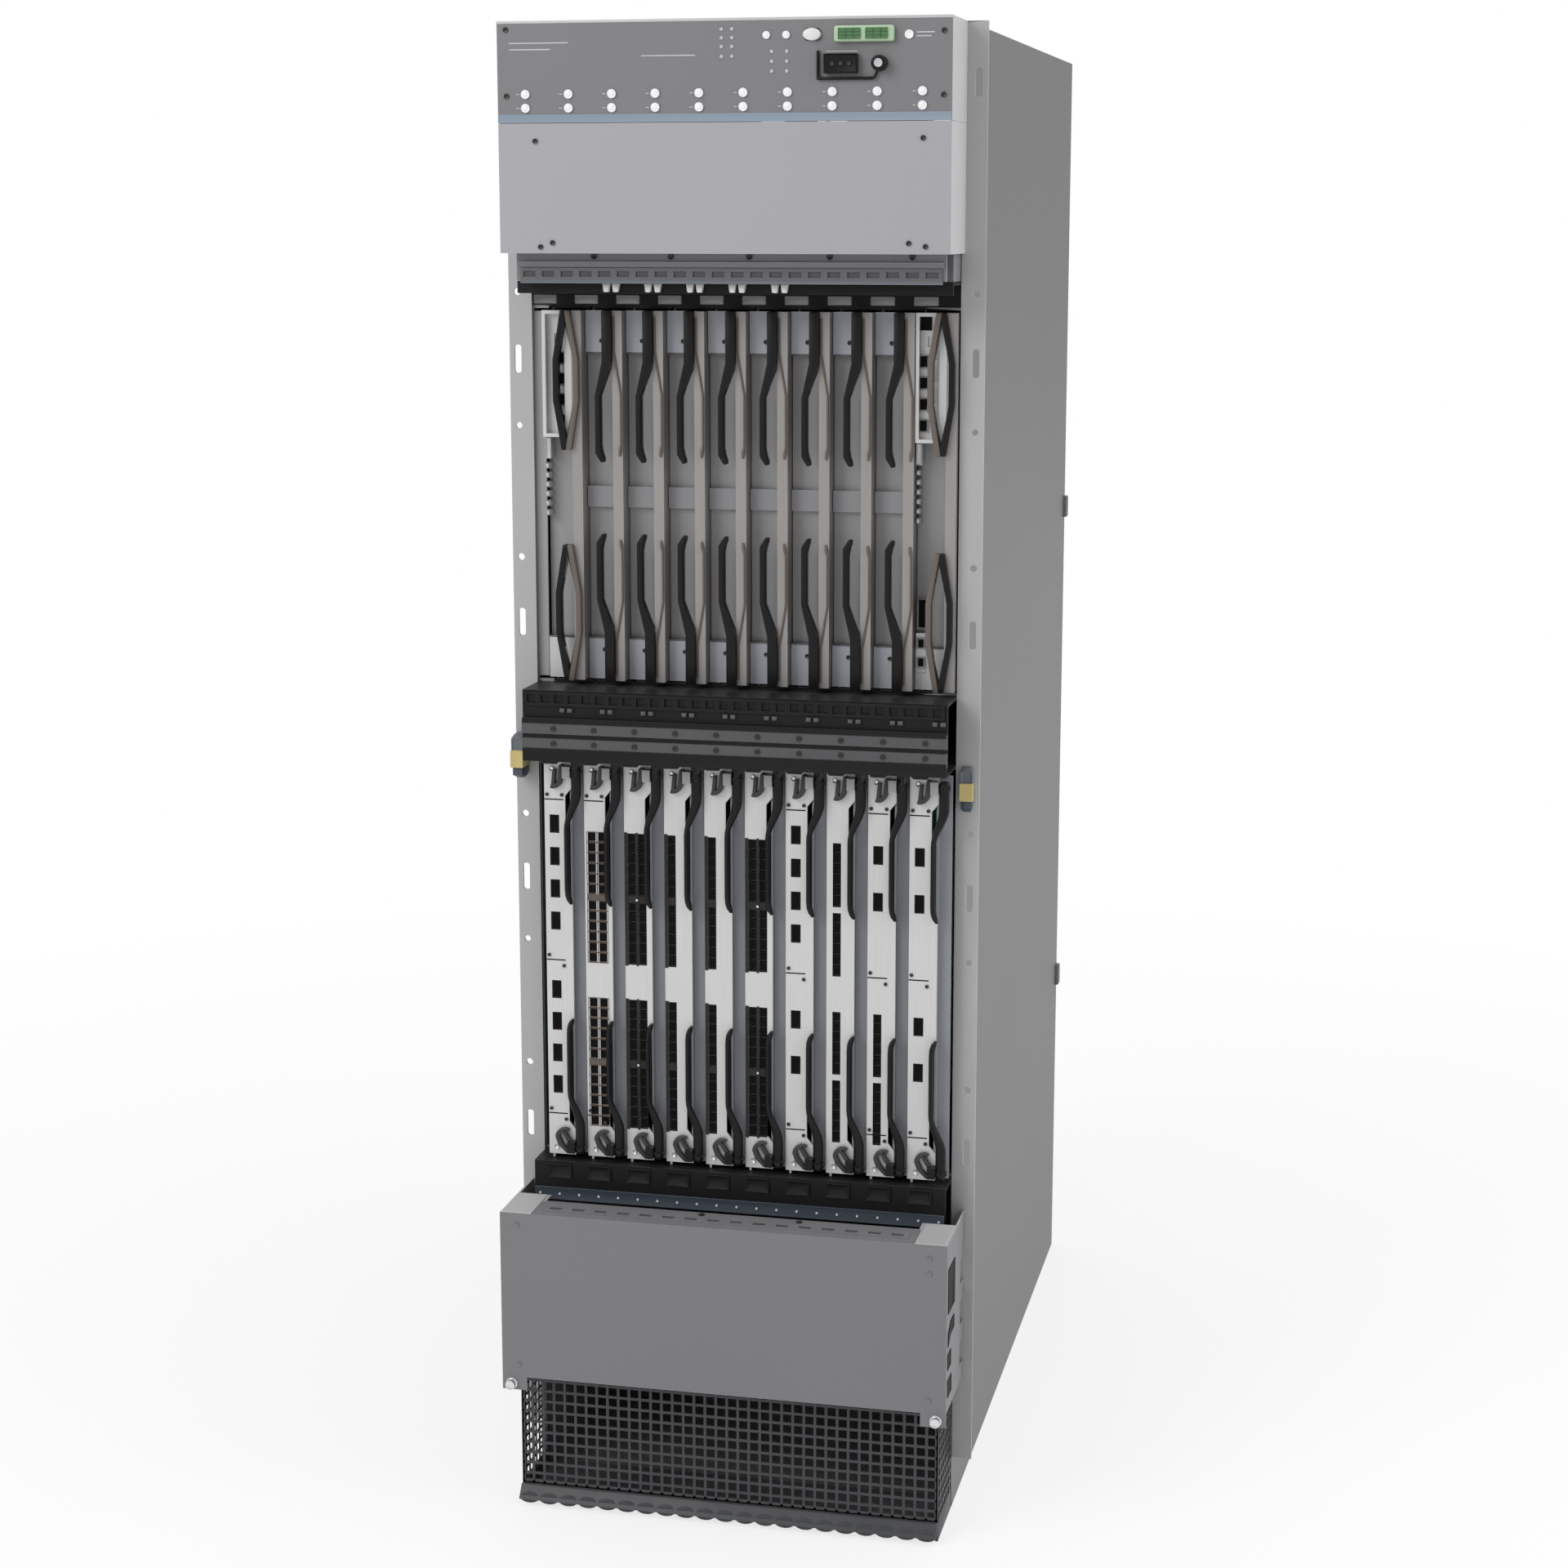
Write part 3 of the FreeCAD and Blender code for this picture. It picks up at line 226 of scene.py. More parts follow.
def rowOf(piece, count, step):
    return addModifier(piece, "ARRAY", count=count, use_relative_offset=False, use_constant_offset=True,
                       constant_offset_displace=Vector(step) * mm)


def copyTo(piece, name, shift):
    mesh = piece.data.copy()
    mesh.transform(Matrix.Translation(Vector(shift) * mm))
    twin = bpy.data.objects.new(name, mesh)
    bpy.context.scene.collection.objects.link(twin)
    return twin


def joinPieces(name, pieces):
    clearSelection()
    for piece in pieces:
        piece.select_set(True)
    bpy.context.view_layer.objects.active = pieces[0]
    if len(pieces) > 1:
        bpy.ops.object.join()
    bpy.context.object.name = name
    return bpy.context.object


def scatter(piece, name, first, places):
    # the piece stands at the first place; copies go to the others and all become one
    shifts = [Vector(place) - Vector(first) for place in places]
    return joinPieces(name, [piece] + [copyTo(piece, name, shift) for shift in shifts])


def closeShell():
    bpy.ops.mesh.select_all(action="SELECT")
    bpy.ops.mesh.normals_make_consistent(inside=False)
    return leaveEdit()


def sweep(name, rings, sides):
    # closed bar through level rings of (x, y, z, width, depth)
    x, y, z, width, depth = rings[0]
    clearSelection()
    bpy.ops.mesh.primitive_circle_add(vertices=sides, radius=0.5, fill_type="NGON", location=at(x, y, z),
                                      rotation=(0, 0, math.pi / sides))
    piece = applyPlace(name)
    pickFaces(piece, anyFace)
    bpy.ops.transform.resize(value=(width * mm, depth * mm, 1), center_override=at(x, y, z))
    for nextX, nextY, nextZ, nextWidth, nextDepth in rings[1:]:
        centre = at(nextX, nextY, nextZ)
        bpy.ops.mesh.extrude_region_move(TRANSFORM_OT_translate={"value": centre - at(x, y, z)})
        bpy.ops.transform.resize(value=(nextWidth / width, nextDepth / depth, 1), center_override=centre)
        x, y, z, width, depth = nextX, nextY, nextZ, nextWidth, nextDepth
    return closeShell()


def bendBar(name, start, size, centre, angle, steps):
    # flat bar turned round a centre
    clearSelection()
    bpy.ops.mesh.primitive_plane_add(size=1, location=at(*start))
    bpy.context.object.scale = (size[0] * mm, size[1] * mm, 1)
    piece = applyPlace(name)
    pickFaces(piece, anyFace)
    bpy.ops.mesh.spin(steps=steps, angle=math.radians(angle), center=at(*centre), axis=(0, 1, 0), dupli=False)
    bpy.ops.mesh.select_all(action="SELECT")
    bpy.ops.mesh.remove_doubles(threshold=1e-6)
    return closeShell()


def perforate(name, low, high, cells, web, thick, axis="Y"):
    # flat grid between two corners, square to an axis, with a hole in every cell and a sheet's thickness
    clearSelection()
    low, high = at(*low), at(*high)
    size = high - low
    turn, scale = {"Y": ((math.pi / 2, 0, 0), (size.x, size.z, 1)),
                   "X": ((math.pi / 2, 0, math.pi / 2), (size.y, size.z, 1)),
                   "Z": ((0, 0, 0), (size.x, size.y, 1))}[axis]
    bpy.ops.mesh.primitive_grid_add(x_subdivisions=cells[0], y_subdivisions=cells[1], size=1,
                                    location=(low + high) / 2, rotation=turn)
    bpy.context.object.scale = scale
    plate = applyPlace(name)
    pickFaces(plate, anyFace)
    bpy.ops.mesh.inset(thickness=web / 2 * mm, use_individual=True)
    bpy.ops.mesh.delete(type="FACE")
    leaveEdit()
    return addModifier(plate, "SOLIDIFY", thickness=thick * mm, offset=0)


def splitFront(piece, cuts):
    pickFaces(piece, toward(front))
    bpy.ops.mesh.subdivide(number_cuts=cuts)
    return leaveEdit()


# shared surface effects, one node group each
midGrey = (0.5, 0.5, 0.5, 1)
colourOnly = {"Color": "NodeSocketColor"}
wholeSurface = {"Color": "NodeSocketColor", "Roughness": "NodeSocketFloat", "Normal": "NodeSocketVector"}


def newGroup(name, inputs, outputs):
    group = bpy.data.node_groups.new(name, "ShaderNodeTree")
    for label, value in inputs.items():
        kind = "NodeSocketColor" if isinstance(value, tuple) else "NodeSocketFloat"
        group.interface.new_socket(label, in_out="INPUT", socket_type=kind).default_value = value
    for label, kind in outputs.items():
        group.interface.new_socket(label, in_out="OUTPUT", socket_type=kind)
    return group, group.nodes.new("NodeGroupInput").outputs, group.nodes.new("NodeGroupOutput").inputs


def closeGroup(group, end, **sources):
    for label, source in sources.items():
        group.links.new(source, end[label])
    return group


def addNode(tree, kind, links=(), **values):
    node = tree.nodes.new("ShaderNode" + kind)
    for key, value in values.items():
        setattr(node, key, value)
    for socket, source in links:
        if hasattr(source, "node"):
            tree.links.new(source, node.inputs[socket])
        else:
            node.inputs[socket].default_value = source
    return node


def mathNode(tree, operation, first, second):
    return addNode(tree, "Math", [(0, first), (1, second)], operation=operation).outputs[0]


def multiply(tree, first, second):
    return mathNode(tree, "MULTIPLY", first, second)


def mixColour(tree, factor, first, second):
    return addNode(tree, "Mix", [(0, factor), (6, first), (7, second)], data_type="RGBA").outputs[2]


def objectPlace(tree):
    return addNode(tree, "TexCoord").outputs["Object"]


def noise(tree, place, scale, detail):
    return addNode(tree, "TexNoise", [("Vector", place), ("Scale", scale), ("Detail", detail)]).outputs[0]


def bump(tree, strength, distance, height):
    return addNode(tree, "Bump", [("Strength", strength), ("Distance", distance), ("Height", height)]).outputs[0]


def swingOf(tree, pattern, amount):
    # pattern from 0 to 1 turned into a swing round zero
    return multiply(tree, mathNode(tree, "SUBTRACT", pattern, 0.5), amount)


def shadeTone(tree, tone, swing):
    shade = mathNode(tree, "ADD", swing, 1)
    return addNode(tree, "VectorMath", [(0, tone), ("Scale", shade)], operation="SCALE").outputs[0]


coatGrain = dict(fineDetail=2, broadScale=6, broadDetail=4, share=0.5, sheen=0.8, depth=0.0006)
brushStreaks = dict(scale=1, detail=3, strength=0.04, depth=0.0004)
edgeRub = dict(samples=4, gain=4, scale=160, detail=3)
dustVeil = dict(scale=22, detail=5, tone=(0.62, 0.6, 0.57, 1))


def makeGrainGroup():
    # speckled coat: slight tone drift, orange-peel bump and uneven sheen
    group, start, end = newGroup("coatGrain", {"Tone": midGrey, "Roughness": 0.5, "Drift": 0.1, "Peel": 0.05,
                                               "Scale": 900}, wholeSurface)
    place = objectPlace(group)
    fine = noise(group, place, start["Scale"], coatGrain["fineDetail"])
    broad = noise(group, place, coatGrain["broadScale"], coatGrain["broadDetail"])
    both = mathNode(group, "ADD", *[multiply(group, pattern, coatGrain["share"]) for pattern in (fine, broad)])
    swing = swingOf(group, both, start["Drift"])
    rough = mathNode(group, "ADD", start["Roughness"], multiply(group, swing, coatGrain["sheen"]))
    return closeGroup(group, end, Color=shadeTone(group, start["Tone"], swing), Roughness=rough,
                      Normal=bump(group, start["Peel"], coatGrain["depth"], fine))


def makeBrushGroup():
    # drawn sheet: long fine streaks up the piece
    group, start, end = newGroup("brushStreaks", {"Tone": midGrey, "Roughness": 0.35, "Contrast": 0.2, "Across": 900,
                                                  "Along": 14}, wholeSurface)
    scale = addNode(group, "CombineXYZ", [("X", start["Across"]), ("Y", start["Across"]), ("Z", start["Along"])])
    drawn = addNode(group, "VectorMath", [(0, objectPlace(group)), (1, scale.outputs[0])], operation="MULTIPLY")
    streak = noise(group, drawn.outputs[0], brushStreaks["scale"], brushStreaks["detail"])
    swing = swingOf(group, streak, start["Contrast"])
    return closeGroup(group, end, Color=shadeTone(group, start["Tone"], swing),
                      Roughness=mathNode(group, "ADD", start["Roughness"], swing),
                      Normal=bump(group, brushStreaks["strength"], brushStreaks["depth"], streak))


def makeRubGroup():
    # paint rubbed pale on sharp edges, broken up by noise
    group, start, end = newGroup("edgeRub", {"Color": midGrey, "Worn": (0.7, 0.7, 0.7, 1), "Amount": 0.4,
                                             "Width": 0.0012}, colourOnly)
    rounded = addNode(group, "Bevel", [("Radius", start["Width"])], samples=edgeRub["samples"])
    flat = addNode(group, "NewGeometry").outputs["Normal"]
    agree = addNode(group, "VectorMath", [(0, rounded.outputs[0]), (1, flat)], operation="DOT_PRODUCT")
    turned = mathNode(group, "SUBTRACT", 1, agree.outputs["Value"])
    broken = noise(group, objectPlace(group), edgeRub["scale"], edgeRub["detail"])
    mask = multiply(group, multiply(group, turned, edgeRub["gain"]), broken)
    limit = addNode(group, "Clamp", [("Value", multiply(group, mask, start["Amount"]))]).outputs[0]
    return closeGroup(group, end, Color=mixColour(group, limit, start["Color"], start["Worn"]))


def makeDustGroup():
    # thin dust on what faces up
    group, start, end = newGroup("dustVeil", {"Color": midGrey, "Amount": 0.2}, colourOnly)
    facing = addNode(group, "SeparateXYZ", [(0, addNode(group, "NewGeometry").outputs["Normal"])])
    up = addNode(group, "Clamp", [("Value", facing.outputs["Z"])]).outputs[0]
    drift = noise(group, objectPlace(group), dustVeil["scale"], dustVeil["detail"])
    mask = multiply(group, multiply(group, up, drift), start["Amount"])
    return closeGroup(group, end, Color=mixColour(group, mask, start["Color"], dustVeil["tone"]))


groups = {"grain": makeGrainGroup(), "brush": makeBrushGroup(), "rub": makeRubGroup(), "dust": makeDustGroup()}


def makeMaterial(name, group, looks, worn, rub, dust, metallic, specular):
    material = bpy.data.materials.new(name)
    material.use_nodes = True
    tree = material.node_tree
    shader = tree.nodes["Principled BSDF"].inputs
    shader["Metallic"].default_value = metallic
    shader["Specular IOR Level"].default_value = specular
    surface = addNode(tree, "Group", looks.items(), node_tree=groups[group]).outputs
    shown = surface["Color"]
    if rub:
        links = [("Color", shown), ("Worn", (*worn, 1)), ("Amount", rub)]
        shown = addNode(tree, "Group", links, node_tree=groups["rub"]).outputs[0]
    if dust:
        links = [("Color", shown), ("Amount", dust)]
        shown = addNode(tree, "Group", links, node_tree=groups["dust"]).outputs[0]
    for label, source in (("Base Color", shown), ("Roughness", surface["Roughness"]), ("Normal", surface["Normal"])):
        tree.links.new(source, shader[label])
    return material


wornCoat = dict(gain=1.7, lift=0.05)
wornSheet = dict(gain=1.3, rub=0.3)


def makeCoat(name, tone, roughness, drift=0.1, peel=0.08, scale=900, metallic=0.0, rub=0.35, worn=None, dust=0.12,
             specular=0.5):
    # painted, moulded or plated surface with rubbed edges and a little dust
    looks = {"Tone": (*tone, 1), "Roughness": roughness, "Drift": drift, "Peel": peel, "Scale": scale}
    pale = worn or [min(1, c * wornCoat["gain"] + wornCoat["lift"]) for c in tone]
    return makeMaterial(name, "grain", looks, pale, rub, dust, metallic, specular)


def makeSheet(name, tone, roughness, metallic, specular=0.5):
    # bare or plated sheet with drawn streaks
    looks = {"Tone": (*tone, 1), "Roughness": roughness}
    pale = [min(1, c * wornSheet["gain"]) for c in tone]
    return makeMaterial(name, "brush", looks, pale, wornSheet["rub"], 0, metallic, specular)


# tone and roughness of each finish, then what differs from the usual coat or sheet
bare = dict(rub=0, dust=0)
moulded = dict(rub=0.1, dust=0)
coats = {
    "shellPaint": ((0.138, 0.138, 0.14), 0.48, {}),
    "statusPaint": ((0.188, 0.187, 0.195), 0.5, {}),
    "accessPaint": ((0.365, 0.357, 0.378), 0.45, {}),
    "lipPaint": ((0.18, 0.183, 0.193), 0.5, {}),
    "slotPaint": ((0.11, 0.112, 0.12), 0.5, {}),
    "coverPaint": ((0.178, 0.175, 0.186), 0.48, {}),
    "flangePaint": ((0.40, 0.395, 0.40), 0.45, {}),
    "blackRail": ((0.009, 0.009, 0.01), 0.42, {"rub": 0.25, "worn": (0.12, 0.12, 0.13), "dust": 0.05,
                                               "specular": 0.18}),
    "blackMould": ((0.007, 0.007, 0.008), 0.36, {"specular": 0.2, "drift": 0.3, "peel": 0.15, "scale": 1500,
                                                 "rub": 0.2, "worn": (0.1, 0.1, 0.1), "dust": 0.04}),
    "railBar": ((0.068, 0.068, 0.072), 0.45, {}),
    "fabricGrey": ((0.31, 0.306, 0.312), 0.5, {}),
    "fabricBlue": ((0.42, 0.435, 0.48), 0.48, {}),
    "crossPaint": ((0.26, 0.26, 0.275), 0.48, {}),
    "bezelPaint": ((0.52, 0.515, 0.52), 0.45, {}),
    "gussetPaint": ((0.45, 0.445, 0.455), 0.45, {}),
    "flankPaint": ((0.235, 0.247, 0.272), 0.5, {}),
    "hookGrey": ((0.042, 0.043, 0.047), 0.4, {"specular": 0.25}),
    "trimGrey": ((0.016, 0.016, 0.018), 0.45, {"specular": 0.2}),
    "stripBlue": ((0.12, 0.135, 0.155), 0.45, {}),
    "markPale": ((0.5, 0.5, 0.52), 0.5, bare),
    "relayPale": ((0.4, 0.54, 0.36), 0.42, moulded),
    # pale brown of the lit handle arms: painted light
    "wireBrown": ((0.12, 0.095, 0.08), 0.45, {"rub": 0.2}),
    "lampGreen": ((0.08, 0.5, 0.12), 0.3, bare),
    "portDark": ((0.006, 0.0055, 0.0055), 0.5, {**bare, "specular": 0.05}),
    "boardGreen": ((0.018, 0.07, 0.035), 0.4, {**bare, "drift": 0.3}),
    "meshPaint": ((0.036, 0.038, 0.043), 0.5, {"rub": 0.3}),
    "lampWhite": ((0.85, 0.85, 0.87), 0.3, {**bare, "drift": 0.05}),
    "lightMould": ((0.72, 0.71, 0.72), 0.42, bare),
    "greenMould": ((0.085, 0.2, 0.085), 0.42, moulded),
    "bluePlate": ((0.23, 0.29, 0.36), 0.45, {}),
    "labelBlue": ((0.045, 0.06, 0.078), 0.45, {}),
    "yellowTag": ((0.54, 0.44, 0.18), 0.45, {"rub": 0}),
    "darkScrew": ((0.02, 0.02, 0.022), 0.35, {"metallic": 0.4, "rub": 0.3}),
    "fanBlack": ((0.02, 0.02, 0.022), 0.4, {"rub": 0.1}),
}
sheets = {
    "jackFrame": ((0.5, 0.5, 0.51), 0.4, {"metallic": 0.6}),
    "portCage": ((0.022, 0.02, 0.019), 0.42, {"metallic": 0, "specular": 0.2}),
    "portTan": ((0.1, 0.08, 0.066), 0.42, {"metallic": 0.1}),
    "ribStrip": ((0.30, 0.285, 0.275), 0.45, {"metallic": 0.3}),
    "cardMetal": ((0.6, 0.594, 0.592), 0.42, {"metallic": 0.25}),
    "cageZinc": ((0.34, 0.35, 0.37), 0.45, {"metallic": 0.6}),
    "brightSteel": ((0.72, 0.72, 0.73), 0.28, {"metallic": 0.9}),
    "moduleZinc": ((0.5, 0.5, 0.51), 0.4, {"metallic": 0.8}),
}
finishes = {}
for make, table in ((makeCoat, coats), (makeSheet, sheets)):
    for name, (tone, roughness, extra) in table.items():
        finishes[name] = make(name, tone, roughness, **extra)
print("finishes ready")


def coatFaces(mesh, finish, zones):
    # base finish, then zones of (test of face centre and normal, finish); the last match counts
    mesh.materials.clear()
    for key in (finish, *[zone[1] for zone in zones]):
        mesh.materials.append(finishes[key])
    for face in mesh.polygons:
        matches = [number for number, zone in enumerate(zones, start=1) if zone[0](face.center, face.normal)]
        face.material_index = matches[-1] if matches else 0


def paintNode(name, finish, *zones):
    coatFaces(nodes[name].data, finish, zones)


def dress(piece, body, finish, *zones):
    coatFaces(piece.data, finish, zones)
    activate(piece)
    bpy.ops.object.shade_smooth_by_angle(angle=math.radians(smoothAngle))
    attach(piece, body)
    return piece


def dressTile(name, spec, finish, base=(0, 0, 0), body="chassis", side=front):
    return dress(makeTile(name, spec, base, side), body, finish)


def dressRow(name, pieces, body, finish, *zones):
    return dress(joinPieces(name, pieces), body, finish, *zones)


def dressCopies(names, *patterns):
    # a copy of each pattern for each board, at its slot; the patterns go
    for name in names:
        for pattern, suffix, finish in patterns:
            dress(copyTo(pattern, f"{name}_{suffix}", (placeOf[name], 0, 0)), name, finish)
    for pattern, _, _ in patterns:
        bpy.data.objects.remove(pattern)


# CAD nodes that stay, with finishes by zone
def nearer(limit):
    return lambda c, n: c.y < flangeY + limit * mm


def deeper(limit):
    return lambda c, n: c.y > flangeY + limit * mm


def blockSide(centre):
    start, half = flangeY + 30 * mm, 6.9 * mm
    return lambda c, n: c.y > start and c.x > centre + half and n.x > squareOff


def sideways(c, n):
    return abs(n.x) > squareOff


plainNodes = {
    "base_pan": "shellPaint", "rear_fan_tray": "shellPaint", "rear_cover": "shellPaint", "midplane": "boardGreen",
    "intake_grille": "meshPaint", "upper_card_rail": "blackRail", "lower_card_rail": "blackRail",
    "status_lamps": "lampWhite", "alarm_button": "lightMould", "relay_terminals": "greenMould",
    "service_port": "blackMould", "power_modules": "moduleZinc", "fan_rotor_left": "fanBlack",
    "fan_rotor_right": "fanBlack",
}
for name, finish in plainNodes.items():
    paintNode(name, finish)
zone = dict(flange=(-1, 3.4), shelfShadeDepth=20, shelfHalf=200, lip=26, gusset=190, railBar=3.5)
accessLow = (span("upper_access_panel")[0][2] + zone["lip"]) * mm
(_, midFront, _), (railHalf, _, _) = span("middle_card_rail")
paintNode("outer_wrap", "shellPaint",
          (lambda c, n: zone["flange"][0] * mm < c.y - flangeY < zone["flange"][1] * mm
           and abs(c.x) > flangeInner * mm, "flangePaint"))
# the zinc front edges of the card cage shelves are painted black as painted shade, where the rails shadow them
paintNode("card_cage", "cageZinc",
          (lambda c, n: n.y < -squareOff and c.y < flangeY + zone["shelfShadeDepth"] * mm
           and abs(c.x) < zone["shelfHalf"] * mm, "blackRail"))
paintNode("status_panel", "statusPaint", (sideways, "bezelPaint"))
paintNode("upper_access_panel", "accessPaint", (lambda c, n: c.z < accessLow, "lipPaint"), (sideways, "bezelPaint"))
paintNode("lower_cover", "coverPaint",
          (lambda c, n: n.z > squareOff and abs(c.x) > zone["gusset"] * mm, "gussetPaint"))
paintNode("middle_card_rail", "blackRail", (nearer(midFront + zone["railBar"]), "railBar"))
boardZone = dict(block=13, cross=12, rib=0.4, ribDepth=17, handle=-8.2)
crossLevel = (fabricFloor + fabricTop) / 2
for name in fabricNodes:
    x = placeOf[name] * mm
    paintNode(name, "fabricGrey",
              (nearer(boardZone["block"]), "cardMetal" if name in controlBoards else "fabricBlue"),
              (lambda c, n: abs(c.z - crossLevel * mm) < boardZone["cross"] * mm
               and c.y < flangeY + boardZone["block"] * mm, "crossPaint"),
              (lambda c, n: c.x > x + (boardHalf - boardZone["rib"]) * mm
               and c.y < flangeY + boardZone["ribDepth"] * mm, "ribStrip"),
              (nearer(boardZone["handle"]), "blackMould"), (deeper(boardZone["ribDepth"]), "boardGreen"),
              (blockSide(x), "moduleZinc"))
cardZone = dict(flank=2.1, flankDepth=2.4, lug=0.5, upperLug=40, recess=(1, 2), board=-12)
lugBack = flangeY + (cardFace - cardZone["lug"]) * mm
recessNear, recessFar = (flangeY + (cardFace + depth) * mm for depth in cardZone["recess"])
for name in cardNodes:
    x = placeOf[name] * mm
    paintNode(name, "cardMetal",
              (lambda c, n: c.x > x + (cardHalf - cardZone["flank"]) * mm
               and c.y > flangeY + (cardFace + cardZone["flankDepth"]) * mm, "flankPaint"),
              (lambda c, n: c.y < lugBack, "blackMould"),
              (lambda c, n: c.y < lugBack and c.z > (lineTop - cardZone["upperLug"]) * mm, "fabricGrey"),
              (lambda c, n: recessNear < c.y < recessFar and n.y < -squareOff, "portDark"),
              (deeper(cardZone["board"]), "boardGreen"), (blockSide(x), "moduleZinc"))
    for end in ("upper", "lower"):
        paintNode(f"{name}_{end}_lever", "blackMould")
print("CAD nodes dressed")


# screws are modelled once a size and copied to every place
screwShare = dict(rim=0.45, sink=0.5, soft=0.25)


def makeScrew(name, place, head, side=front):
    radius, proud = head["radius"], head["proud"]
    spec = dict(radius=radius, length=proud, sides=head.get("sides", 14), rim=radius * screwShare["rim"],
                sink=proud * screwShare["sink"], soft=proud * screwShare["soft"])
    return makeBoss(name, spec, (place[0], place[1] + side.y * proud / 2, place[2]), side=side)


def addScrews(name, places, head, body="chassis", finish="darkScrew", side=front):
    screw = makeScrew(name, places[0], head, side)
    return dress(scatter(screw, name, places[0], places[1:]), body, finish)


# line card levers
lever = dict(root=cardHalf + 6.8, grip=cardHalf - 3.9, pivot=12, front=cardFace - 5.1, depth=8.8, rootWidth=10.4,
             gripWidth=5, shoulder=22, bend=60, steps=8, sides=16, foot=[(-6, 0.86), (-4.5, 1), (10, 1), (22, 1)],
             tip=[(80, 0, 5, 8.8), (106, 0, 5, 8.8), (122, 0.1, 5.2, 8.8), (129, 0.9, 5.8, 8.6), (134, 2.4, 5.6, 8),
             (138, 4.2, 3, 5)])
leverPin = dict(radius=2.6, length=11.6, sides=14, rim=0.9, sink=0.5, shift=0.2)
leverBoss = dict(radius=3.4, length=2.4, sides=16, rim=1, sink=0.6, soft=0.3, reach=3.8)


def leverRings(start, turn):
    root, wide, depth = lever["root"], lever["rootWidth"], lever["depth"]
    rings = [(root, offset, wide * size, depth * size) for offset, size in lever["foot"]]
    for step in range(1, lever["steps"] + 1):
        share = step / lever["steps"]
        ease = share * share * (3 - 2 * share)
        offset = lever["shoulder"] + (lever["bend"] - lever["shoulder"]) * share
        rings.append((root + (lever["grip"] - root) * ease, offset, wide + (lever["gripWidth"] - wide) * ease, depth))
    rings += [(lever["grip"] + lean, offset, width, deep) for offset, lean, width, deep in lever["tip"]]
    return [(x, lever["front"], start + turn * offset, width, deep) for x, offset, width, deep in rings]


for end in ("upper", "lower"):
    pivot, turn = endOf(end, lineFloor, lineTop, lever["pivot"])
    bar = sweep(f"{end}Lever", leverRings(pivot, turn), lever["sides"])
    pin = makeBoss("leverPin", leverPin, (lever["root"] + leverPin["shift"], lever["front"], pivot), "X", right)
    boss = makeBoss("leverBoss", leverBoss, (lever["root"], lever["front"] - leverBoss["reach"], pivot))
    shape = joinPieces(f"{end}Lever", [bar, pin, boss])
    for name in cardNodes:
        twin = copyTo(shape, f"{name}_{end}Lever", (placeOf[name], 0, 0))
        dress(twin, f"{name}_{end}_lever", "blackMould")
        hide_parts(f"{name}_{end}_lever")
    bpy.data.objects.remove(shape)
print("levers done")

# claws and pins at both ends of each line card face
claw = dict(bar=(4.6, 6), front=cardFace - 3, steps=8, margin=2, soft=0.7)
clawPin = dict(radius=2.4, proud=2.6, shift=-6, offset=8)
clawBends = {
    "upper": {"start": 4, "centre": -3.5, "offset": 18, "angle": -110, "side": top,
              "legs": [((1.5, 0, 15), (1, 1, 1))]},
    "lower": {"start": -4, "centre": 3.5, "offset": 20, "angle": -125, "side": under,
              "legs": [((4, 0, -8), (1.2, 1, 1)), ((9, 0, -9), (1, 1, 1))]},
}
for end, bend in clawBends.items():
    edge, turn = endOf(end, lineFloor, lineTop, claw["margin"])
    level = edge + turn * bend["offset"]
    hook = bendBar("claw", (bend["start"], claw["front"], level), claw["bar"],
                   (bend["centre"], claw["front"], level), bend["angle"], claw["steps"])
    for push, grow in bend["legs"]:
        drawOut(hook, bend["side"], push, grow)
    soften(hook, claw)
    pin = makeScrew("clawPin", (clawPin["shift"], cardFace, edge + turn * clawPin["offset"]), clawPin)
    dressCopies(cardNodes, (hook, f"{end}Claw", "hookGrey"), (pin, f"{end}Pin", "brightSteel"))
print("claws done")

# ports: one cage of each kind, copied into the recesses of each card
portEdge = 3.5 - cardHalf
largePort = dict(width=10, height=19, rim=0.8, proud=0.4, sink=1.6)
smallPort = dict(width=8.4, height=9.6, rim=0.7, proud=0.3, sink=1.5)
roundPort = dict(width=11, height=10.8, rim=1.1, proud=0.8, sink=1.9)
portRow = dict(pitch=11, count=6, stack=72, gap=6, recess=1.8, play=0.1, soft=0.15)
bridge = dict(y=(-0.4, 0.2), rim=1, sink=0.3)
columns = dict(large=portEdge + 1.89, left=portEdge, right=portEdge + 11, single=portEdge + 2.75)


def makePort(name, kind, x, z):
    spec = {"x": (0, kind["width"]), "y": (-kind["proud"], portRow["recess"]), "z": (0, kind["height"]),
            "rim": kind["rim"], "sink": kind["sink"], "soft": portRow["soft"], "segments": 1}
    return makeTile(name, spec, (x, cardFace, z))


def dressPorts(name, pieces, body, finish, kind):
    floor = flangeY + (cardFace - kind["proud"] + kind["sink"] - portRow["play"]) * mm
    dressRow(name, pieces, body, finish, (lambda c, n: c.y > floor and n.y < -squareOff, "portDark"))


def addLargePorts(number, starts):
    name = cardNodes[number - 1]
    port = makePort("largePort", largePort, columns["large"] + slotX[number], lineFloor + starts[0])
    copies = [copyTo(port, "port", (0, 0, start - starts[0])) for start in starts[1:]]
    dressPorts(f"{name}_largePorts", [port] + copies, name, "portCage", largePort)


